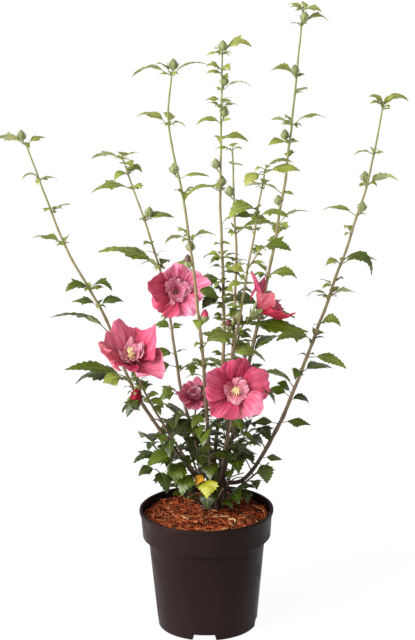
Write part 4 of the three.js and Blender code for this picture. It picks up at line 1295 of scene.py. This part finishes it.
def add_bud(piece, stalks, bud):
    """Plump bud in five sepals that meet at its point, over a ring of narrow bracts."""
    axis = unit(bud["top"] - bud["tip"])
    length = np.linalg.norm(bud["top"] - bud["tip"])
    rows, sides = 9, 20
    share = np.linspace(0, 1, rows)
    radii = BUD_BODY_RADIUS * np.sin(math.pi * (0.1 + 0.88 * share ** 0.86)) ** 0.85
    centres = bud["tip"] + axis * (share * length)[:, None]
    ridges = 0.09 * np.cos(SEPAL_COUNT * turns_round(sides)) * np.minimum(1, 1.4 * share)[:, None]
    add_tube(piece, centres, radii, sides, "bud_green", ridges)
    if bud["point"] != "bud_green":
        cap = share > 0.3
        add_tube(piece, centres[cap] + axis * 4, radii[cap] * 0.94, sides, bud["point"])
    for away, beside in ring_of(axis, BRACT_COUNT, bud["turn"]):
        place = bud["tip"] + away * 2.4
        add_bract(piece, place, axis, beside, 14, BRACT_WIDTH, 0.95, -0.9, "bract_green", "under_fresh")
    middle = (bud["root"] + bud["tip"]) / 2 - np.array([0, 0, 1.0])
    add_tube(stalks, [bud["root"], middle, bud["tip"] + axis], [1.1, 0.95, 1.3], 6, "twig_green")


def add_column(piece, heart, axis, draw):
    """Column of joined stamens with pollen at the ends of short threads, and five stigmas at its tip."""
    share = np.linspace(0, 1, 9)
    centres = heart + axis * (COLUMN_LENGTH * share)[:, None]
    add_tube(piece, centres, 2.3 - 1.2 * share, 8, "stamen")
    directions = list(ring_of(axis, STAMEN_ROWS))
    for i in range(STAMEN_COUNT):
        away = directions[i * 4 % STAMEN_ROWS][0]
        root = heart + axis * (COLUMN_LENGTH * (0.3 + 0.68 * i / STAMEN_COUNT))
        reach = spread(draw, 4.6, 2.6) * (1.25 - 0.5 * i / STAMEN_COUNT)
        tip = root + away * reach + axis * spread(draw, 1.5, 1.5)
        add_tube(piece, [root, (root + tip) / 2 + axis * 0.2, tip], [0.3, 0.25, 0.3], 4, "stamen")
        add_grain(piece, tip, spread(draw, 0.8, 0.2))
    top = heart + axis * COLUMN_LENGTH
    for away, _ in ring_of(axis, 5, 0.4):
        end = top + away * 3.4 + axis * 3.4
        add_tube(piece, [top, top + away * 1.2 + axis * 2.2, end], [0.7, 0.5, 0.5], 5, "stamen")
        add_grain(piece, end, 1.2)


def add_grain(piece, centre, radius):
    """Small round grain of pollen."""
    heights = np.array([-0.92, -0.4, 0.4, 0.92])
    centres = centre + SKY * (heights * radius)[:, None]
    add_tube(piece, centres, np.sqrt(1 - heights ** 2) * radius, 6, "pollen")


def add_calyx(piece, base, axis, stalk_radius, size=1.0):
    """Cup of five pointed sepals with a ring of narrow bracts under it."""
    share = np.linspace(0, 1, 6)
    centres = base + axis * (-2 + (CALYX_LENGTH * 0.75 * size) * share)[:, None]
    add_tube(piece, centres, stalk_radius + (7.0 * size - stalk_radius) * np.sqrt(share), 15, "bud_green")
    rim = base + axis * (CALYX_LENGTH * 0.45 * size)
    for away, beside in ring_of(axis, SEPAL_COUNT, 0.3):
        add_bract(piece, rim + away * 5.6 * size, axis, beside, 17 * size, 8.5 * size, 0.5, 0.35,
                  "bud_green", "bud_green", 8)
    for away, beside in ring_of(axis, BRACT_COUNT):
        place = base + away * 2.5
        add_bract(piece, place, axis, beside, 13 * size, BRACT_WIDTH, 1.1, -0.5, "bract_green",
                  "under_fresh")


def add_bloom(petals, greens, hearts, bloom, seed):
    """Five broad outer petals, then crumpled inner petals, more and longer in a fuller flower."""
    draw = numbers_from(seed)
    fullness, paints, size = bloom["fullness"], bloom["paints"], bloom["size"]
    axes = flower_axes(bloom.get("turned", bloom["facing"]))
    heart = bloom["base"] + axes[0] * CALYX_LENGTH * HEART_SHARE
    for number, petal in enumerate(bloom["petals"]):
        opened = petal["open"] + math.radians(spread(draw, -6 - bloom["cupping"], 12))
        shaped = {**petal, "open": opened, "twist": 0.26, "width": petal["width"] * 1.06,
                  "paint": paints[number % len(paints)]}
        if "shapes" in bloom:
            shape = dict(zip(PETAL_WORDS, bloom["shapes"][number]))
            angles = {word: math.radians(shape[word]) for word in ("turn", "start", "open")}
            shaped = {**shape, **angles, "twist": 0.06, "roundness": 0.85}
        add_petal(petals, heart, axes, shaped, PETAL_GRID, 0.05 + 0.04 * fullness, 0.6, draw)
    inner = list(bloom["petaloids"])
    inner_reach, inner_open = bloom.get("inner_reach", 1), bloom.get("inner_open", 88)
    count = 3 + int(14 * fullness)
    for i in range(count):
        inwards = i / count * fullness
        inner.append({
            "turn": math.radians(GOLDEN_TURN * i + spread(draw, 20, 24)),
            "length": size * spread(draw, 0.48 + 0.16 * fullness - 0.28 * inwards, 0.08) * inner_reach,
            "width": size * spread(draw, 0.34 + 0.12 * fullness - 0.14 * inwards, 0.08),
            "start": math.radians(spread(draw, 10, 8)),
            "open": math.radians(spread(draw, inner_open * (1 - 0.7 * inwards), 14)),
            "twist": spread(draw, 0, 0.4),
        })
    for petal in inner:
        add_petal(petals, heart, axes, {**petal, "rest": paints[-1]}, PETALOID_GRID, 0.13, 0.5, draw)
    if fullness < 1:
        add_column(hearts, heart, axes[0], draw)
    add_calyx(greens, bloom["base"], axes[0], 1.8)


def add_spent(petals, greens, stalks, root):
    """Spent flower, furled and hanging beside its stem."""
    tip = root + round_place(SPENT_FLOWER["heading"], 15, 6)
    axis = unit(round_place(SPENT_FLOWER["heading"], 8, -30))
    rows, sides = 14, 30
    share = np.linspace(0, 1, rows)
    radii = 8.6 * np.sin(math.pi * (0.16 + 0.74 * share)) ** 0.9
    furls = 0.2 * np.cos(5 * turns_round(sides) - 2.4 * share[:, None] * math.pi) * (0.3 + share[:, None])
    add_tube(petals, tip + axis * (3 + 34 * share)[:, None], radii, sides, "petal_spent", furls)
    add_calyx(greens, tip, axis, 1.5, 0.66)
    add_tube(stalks, [root, (root + tip) / 2 + (0, 0, 2.5), tip + axis * 2], [1.3, 1.1, 1.4], 6, "twig_green")


# The pot and what fills it

FILLET_PLACES = 4


def arc(centre, radius, start, end):
    """Places round a small fillet, in radius and height."""
    turns = np.radians(np.linspace(start, end, FILLET_PLACES))
    return [(centre[0] + radius * math.cos(t), centre[1] + radius * math.sin(t)) for t in turns]


def pot_outline():
    """Half outline of the pot, from the middle of its underside round its rim to the inside."""
    pad_edge = FLOOR_PAD_RADIUS + GROOVE_SLOPE
    ring_edge = BASE_RADIUS - FOOT_RING_WIDTH
    groove_floor = GROOVE_HEIGHT + WALL
    groove_wall = BASE_RADIUS + (BODY_TOP_RADIUS - BASE_RADIUS) * groove_floor / BODY_TOP_HEIGHT - WALL
    lip_foot = POT_HEIGHT - LIP_HEIGHT
    lip_inside = BAND_TOP_RADIUS - WALL + 0.9
    return [
        (FLOOR_PAD_RADIUS, 0),
        (pad_edge, GROOVE_HEIGHT),
        (ring_edge, GROOVE_HEIGHT),
        (ring_edge, 0),
        *arc((BASE_RADIUS - 0.8, 0.8), 0.8, 270, 355),
        (BASE_RADIUS + 0.4, 5),
        (BASE_RADIUS + 1.0, NOTCH_HEIGHT + 1.4),
        (BODY_TOP_RADIUS - 0.15, BODY_TOP_HEIGHT - 2),
        (BODY_TOP_RADIUS, BODY_TOP_HEIGHT),
        (BODY_TOP_RADIUS + 1.0, BODY_TOP_HEIGHT + 0.5),
        (BAND_FOOT_RADIUS - 0.8, BAND_FOOT_HEIGHT - 0.4),
        (BAND_FOOT_RADIUS, BAND_FOOT_HEIGHT + 0.5),
        (BAND_FOOT_RADIUS + 0.12, BAND_FOOT_HEIGHT + 3),
        (BAND_TOP_RADIUS - 0.05, lip_foot - 1),
        (BAND_TOP_RADIUS + 0.3, lip_foot - 0.2),
        (LIP_RADIUS - 0.7, lip_foot),
        *arc((LIP_RADIUS - 0.7, lip_foot + 0.7), 0.7, 280, 360),
        *arc((LIP_RADIUS - 1.1, POT_HEIGHT - 1.1), 1.1, 0, 90),
        (lip_inside, POT_HEIGHT),
        *arc((lip_inside, POT_HEIGHT - 0.9), 0.9, 100, 180),
        (BAND_FOOT_RADIUS - WALL, BAND_FOOT_HEIGHT + WALL),
        (BODY_TOP_RADIUS - WALL, BODY_TOP_HEIGHT + WALL),
        (groove_wall, groove_floor),
        (pad_edge - WALL, groove_floor),
        (FLOOR_PAD_RADIUS - WALL, WALL),
    ]


def make_pot():
    """Pot turned from its outline. Its foot ring is raised in four places, as drainage notches."""
    outline = np.array(pot_outline())
    turns = 360 / POT_TURNS * np.arange(POT_TURNS)
    between = 360 / NOTCH_COUNT
    past_notch = (turns - FRONT_NOTCH_TURN) % between
    from_notch = np.minimum(past_notch, between - past_notch)
    is_notched = np.radians(from_notch) * BASE_RADIUS <= NOTCH_WIDTH / 2
    radius, height = outline[:, 0, None], outline[:, 1, None]
    is_foot_ring = radius > BASE_RADIUS - FOOT_RING_WIDTH - 0.5
    skin = np.stack([
        radius * np.cos(np.radians(turns)),
        radius * np.sin(np.radians(turns)),
        np.where(is_foot_ring & is_notched, np.maximum(height, NOTCH_HEIGHT), height),
    ], axis=2)
    piece = Piece("pot_shell")
    add_skin(piece, skin, [(0, 0, 0), (0, 0, WALL)], "pot_plastic")
    return piece.build(sharp_angle=32)


MULCH_RADIUS = 103.5
MULCH_DEPTH = 34
STRAND_COUNT = 2600
STRAND_CHANCES = (0.2, 0.34, 0.32, 0.12, 0.02)
STRAND_WIDTHS = (0.9, 2.8)
STRAND_LENGTHS = (6, 17)
LONG_STRAND_LENGTHS = (17, 28)
SHORT_STRAND_SHARE = 0.8
MULCH_HEAP = {"place": (-34, -18), "radius": 70, "height": 5}
# Pale strands that stand out: the place, heading, length, width and bend of each
PALE_STRANDS = [
    ((38, -44, SOIL + 3.5), 1.9, 22, 3.4, 2.6),
    ((26, -22, SOIL + 3.5), 0.15, 20, 2.2, 0.2),
]


def mulch_height(x, y):
    """Height of the mulch: dished at the wall, heaped a little on the left, and lumpy."""
    heap_x, heap_y = MULCH_HEAP["place"]
    heap_reach = math.hypot(x - heap_x, y - heap_y) / MULCH_HEAP["radius"]
    heap = MULCH_HEAP["height"] * math.exp(-2 * heap_reach ** 2)
    lumps = 2.4 * noise.noise(Vector((x * 0.05, y * 0.05, 3.0)))
    crumbs = 1.1 * noise.noise(Vector((x * 0.17, y * 0.17, 9)))
    dish = 1.5 * max(0, math.hypot(x, y) / MULCH_RADIUS - 0.6) / 0.4
    return SOIL - 1.5 + heap + (lumps + crumbs) - dish


def make_mulch_bed():
    """Dark crumbly bed under the strands, closed below."""
    piece = Piece("mulch_bed")
    rings, sides = 26, 96
    turns = [360 * k / sides for k in range(sides)]
    skin = [[round_place(turn, MULCH_RADIUS - 3, SOIL - MULCH_DEPTH) for turn in turns]]
    for i in range(rings, 0, -1):
        places = [round_place(turn, MULCH_RADIUS * i / rings, 0) for turn in turns]
        skin.append([(x, y, mulch_height(x, y)) for x, y, _ in places])
    middles = [(0, 0, SOIL - MULCH_DEPTH), (0, 0, mulch_height(0, 0))]
    add_skin(piece, np.array(skin), middles, "mulch_dark")
    return piece.build(sharp_angle=60)


def add_strand(piece, place, heading, length, width, bend, tilt, material):
    """Curved splinter of bark, thick in its middle and frayed to its ends."""
    share = np.linspace(-0.5, 0.5, 5)
    turn = heading + bend * share
    steps = np.stack([np.cos(turn), np.sin(turn), np.full(5, math.sin(tilt))], axis=1) * length / 4
    spine = place + np.cumsum(steps, axis=0) - steps.sum(axis=0) / 2
    full = np.cos(math.pi * share * 0.86)
    spine[:, 2] += length * 0.05 * full
    add_tube(piece, spine, width / 2 * (0.25 + 0.75 * full), 4, material)


def make_mulch_strands():
    """Shredded bark that lies over the bed in every direction."""
    piece = Piece("mulch_strands")
    pick = np.random.default_rng(2)
    tints = list(MULCH_PAINTS)
    for _ in range(STRAND_COUNT):
        reach = (MULCH_RADIUS - 3) * math.sqrt(pick.random())
        turn = 360 * pick.random()
        is_short = pick.random() < SHORT_STRAND_SHARE
        length = pick.uniform(*(STRAND_LENGTHS if is_short else LONG_STRAND_LENGTHS))
        x, y, _ = round_place(turn, min(reach, MULCH_RADIUS - 2 - length * 0.3), 0)
        heading = math.radians(turn + 90 + pick.normal(0, 30)) if reach > 80 else pick.uniform(0, 2 * math.pi)
        place = np.array([x, y, mulch_height(x, y) + pick.uniform(0, 3.2)])
        add_strand(piece, place, heading, length, pick.uniform(*STRAND_WIDTHS), pick.normal(0, 0.7),
                   pick.normal(0, 0.22), tints[pick.choice(len(tints), p=STRAND_CHANCES)])
    for place, heading, length, width, bend in PALE_STRANDS:
        add_strand(piece, np.array(place), heading, length, width, bend, 0, "mulch_pale")
    return piece.build(sharp_angle=40)


def make_crown():
    """Woody crown where the stems run together, with ridged bark and root lobes at the soil."""
    piece = Piece("crown_bark")
    sides, rows = 96, 18
    stem_turns = np.radians([turn for _, turn, *_ in STEMS])
    skin = np.empty((rows, sides, 3))
    for i in range(rows):
        height = CROWN_HEIGHT * i / (rows - 1)
        flare = math.exp(-height / CROWN_FLARE_HEIGHT * 1.3)
        radius = CROWN_TOP_RADIUS + (CROWN_FLARE_RADIUS - CROWN_TOP_RADIUS) * flare
        for k, turn in enumerate(turns_round(sides)):
            nearest = math.acos(min(1, np.cos(turn - stem_turns).max()))
            ridge = math.exp(-((nearest / 0.27) ** 2))
            grain = noise.noise(Vector((math.cos(turn) * 5, math.sin(turn) * 5, height * 0.06)))
            knots = noise.noise(Vector((math.cos(turn) * 1.6, math.sin(turn) * 1.6, height * 0.1 + 5)))
            share = 0.72 + 0.26 * ridge + 0.1 * flare * math.cos(ROOT_LOBES * turn)
            reach = radius * (share + 0.05 * grain + 0.08 * knots)
            level = SOIL - CROWN_SUNK + height * CROWN_STRETCH
            skin[i, k] = round_place(math.degrees(turn), reach, level, CROWN_CENTRE)
    middles = [(*CROWN_CENTRE, SOIL - CROWN_SUNK), (*CROWN_CENTRE, CROWN_TOP + CROWN_DOME)]
    add_skin(piece, skin, middles, "stem_bark")
    return piece.build(sharp_angle=60)


# Putting the shrub together

def make_stems(masses):
    """Bark over each stem, from its foot on the crown to its tip."""
    twigs = Piece("bark_twigs")
    for mass in masses:
        if "bough" in mass:
            piece = Piece("bark_" + mass["name"])
            joints = np.linspace(mass["start"] + 8, mass["whole"] - 1, len(mass["leaves"].split(" ")))
            add_stem(piece, mass["curve"], (mass["foot"], mass["radii"][1]), mass["seed"], BOUGH_SIDES,
                     joints)
            show(piece.build(sharp_angle=50), "stem_bark", "bough_" + mass["name"])
        else:
            add_stem(twigs, mass["curve"], mass["radii"], mass["seed"], TWIG_SIDES)
    for curve, radii in limbs:
        add_stem(twigs, curve, radii, 3, FINE_TWIG_SIDES)
    show(twigs.build(sharp_angle=50), "stem_bark")


def make_leaves(masses, stalks):
    shoots = sorted({mass["node"] for mass in masses if mass["node"].startswith("shoot_")})
    sprays = sorted({mass["node"] for mass in masses if mass["node"].startswith("spray_")})
    high, low = Piece("leaves_high"), Piece("leaves_low")
    for leaf in leaves:
        add_leaf(high if leaf["owner"] in shoots else low, stalks, leaf)
    show(high.build(), "leaves", *shoots)
    show(low.build(), "low_leaves", *sprays)


def make_flowers(masses, stalks):
    petals, greens, hearts = Piece("petals"), Piece("buds_and_calyces"), Piece("stamens")
    for number, bloom in enumerate(blooms):
        add_bloom(petals, greens, hearts, bloom, 17 + number * 29)
    stem = next(mass for mass in masses if mass["name"] == SPENT_FLOWER["on"])
    add_spent(petals, greens, stalks, stem["curve"].at(stem["whole"] * SPENT_FLOWER["at"]))
    for bud in buds:
        add_bud(greens, stalks, bud)
    show(petals.build(sharp_angle=60), "petals", *sorted(BLOOMS))
    show(hearts.build(), "petals")
    show(greens.build(), "leaves")


def make_floor():
    mesh = bpy.data.meshes.new("floor")
    places = [(-FLOOR_HALF, -FLOOR_HALF, 0), (FLOOR_HALF, -FLOOR_HALF, 0),
              (FLOOR_HALF, FLOOR_HALF, 0), (-FLOOR_HALF, FLOOR_HALF, 0)]
    mesh.from_pydata(places, [], [(0, 1, 2, 3)])
    _, shader = new_material("floor_paint", grey(FLOOR_PAINT), 0.9, 0.1)
    shader.inputs["Emission Color"].default_value = grey(1)
    shader.inputs["Emission Strength"].default_value = FLOOR_GLOW
    mesh.materials.append(materials["floor_paint"])
    put_in_scene("floor", mesh)


def add_light(name, kind, energy, direction):
    data = bpy.data.lights.new(name, kind)
    data.energy = energy
    lamp = put_in_scene(name, data)
    lamp.rotation_euler = direction.to_track_quat("-Z", "Y").to_euler()
    return lamp


def make_lights():
    """Even white surroundings, one soft light from the upper left and a large panel on the left."""
    world = bpy.data.worlds.new("studio")
    bpy.context.scene.world = world
    world.use_nodes = True
    background = world.node_tree.nodes["Background"]
    background.inputs["Color"].default_value = grey(1)
    background.inputs["Strength"].default_value = WORLD_LIGHT
    key = add_light("key", "SUN", KEY_LIGHT, -Vector(KEY_FROM))
    key.data.angle = math.radians(KEY_SOFTNESS)
    panel = add_light("side", "AREA", SIDE_LIGHT, Vector(SIDE_LIGHT_AIM) - Vector(SIDE_LIGHT_PLACE))
    panel.data.size = SIDE_LIGHT_SIZE
    panel.location = SIDE_LIGHT_PLACE


CAMERA_PLACE = (0.005, -3.065, 1.352)
CAMERA_PITCH = 15.2
CAMERA_ROLL = 0.6
FOCAL_PIXELS = 1985
FRAME_HEIGHT_PIXELS = 640


def make_camera():
    data = bpy.data.cameras.new("camera")
    data.sensor_width = 36
    data.lens = data.sensor_width * FOCAL_PIXELS / FRAME_HEIGHT_PIXELS
    camera = put_in_scene("camera", data)
    tilt = Matrix.Rotation(math.radians(90 - CAMERA_PITCH), 4, "X")
    roll = Matrix.Rotation(math.radians(-CAMERA_ROLL), 4, "Z")
    camera.matrix_world = Matrix.Translation(CAMERA_PLACE) @ tilt @ roll
    bpy.context.scene.camera = camera
    bpy.context.scene.view_settings.view_transform = "Standard"


make_camera()
make_floor()
make_lights()
make_materials()
masses = plan_masses()
grow_flowers(masses)
grow_chosen(masses)
grow_masses(masses)
grow_finer(masses)
show(make_pot(), "pot_plastic", "pot")
show(make_mulch_bed(), "bark_mulch", "potting_mix")
show(make_mulch_strands(), "bark_mulch")
show(make_crown(), "stem_bark", "root_crown")
make_stems(masses)
stalk_piece = Piece("leaf_stalks")
make_leaves(masses, stalk_piece)
make_flowers(masses, stalk_piece)
show(stalk_piece.build(), "leaves")
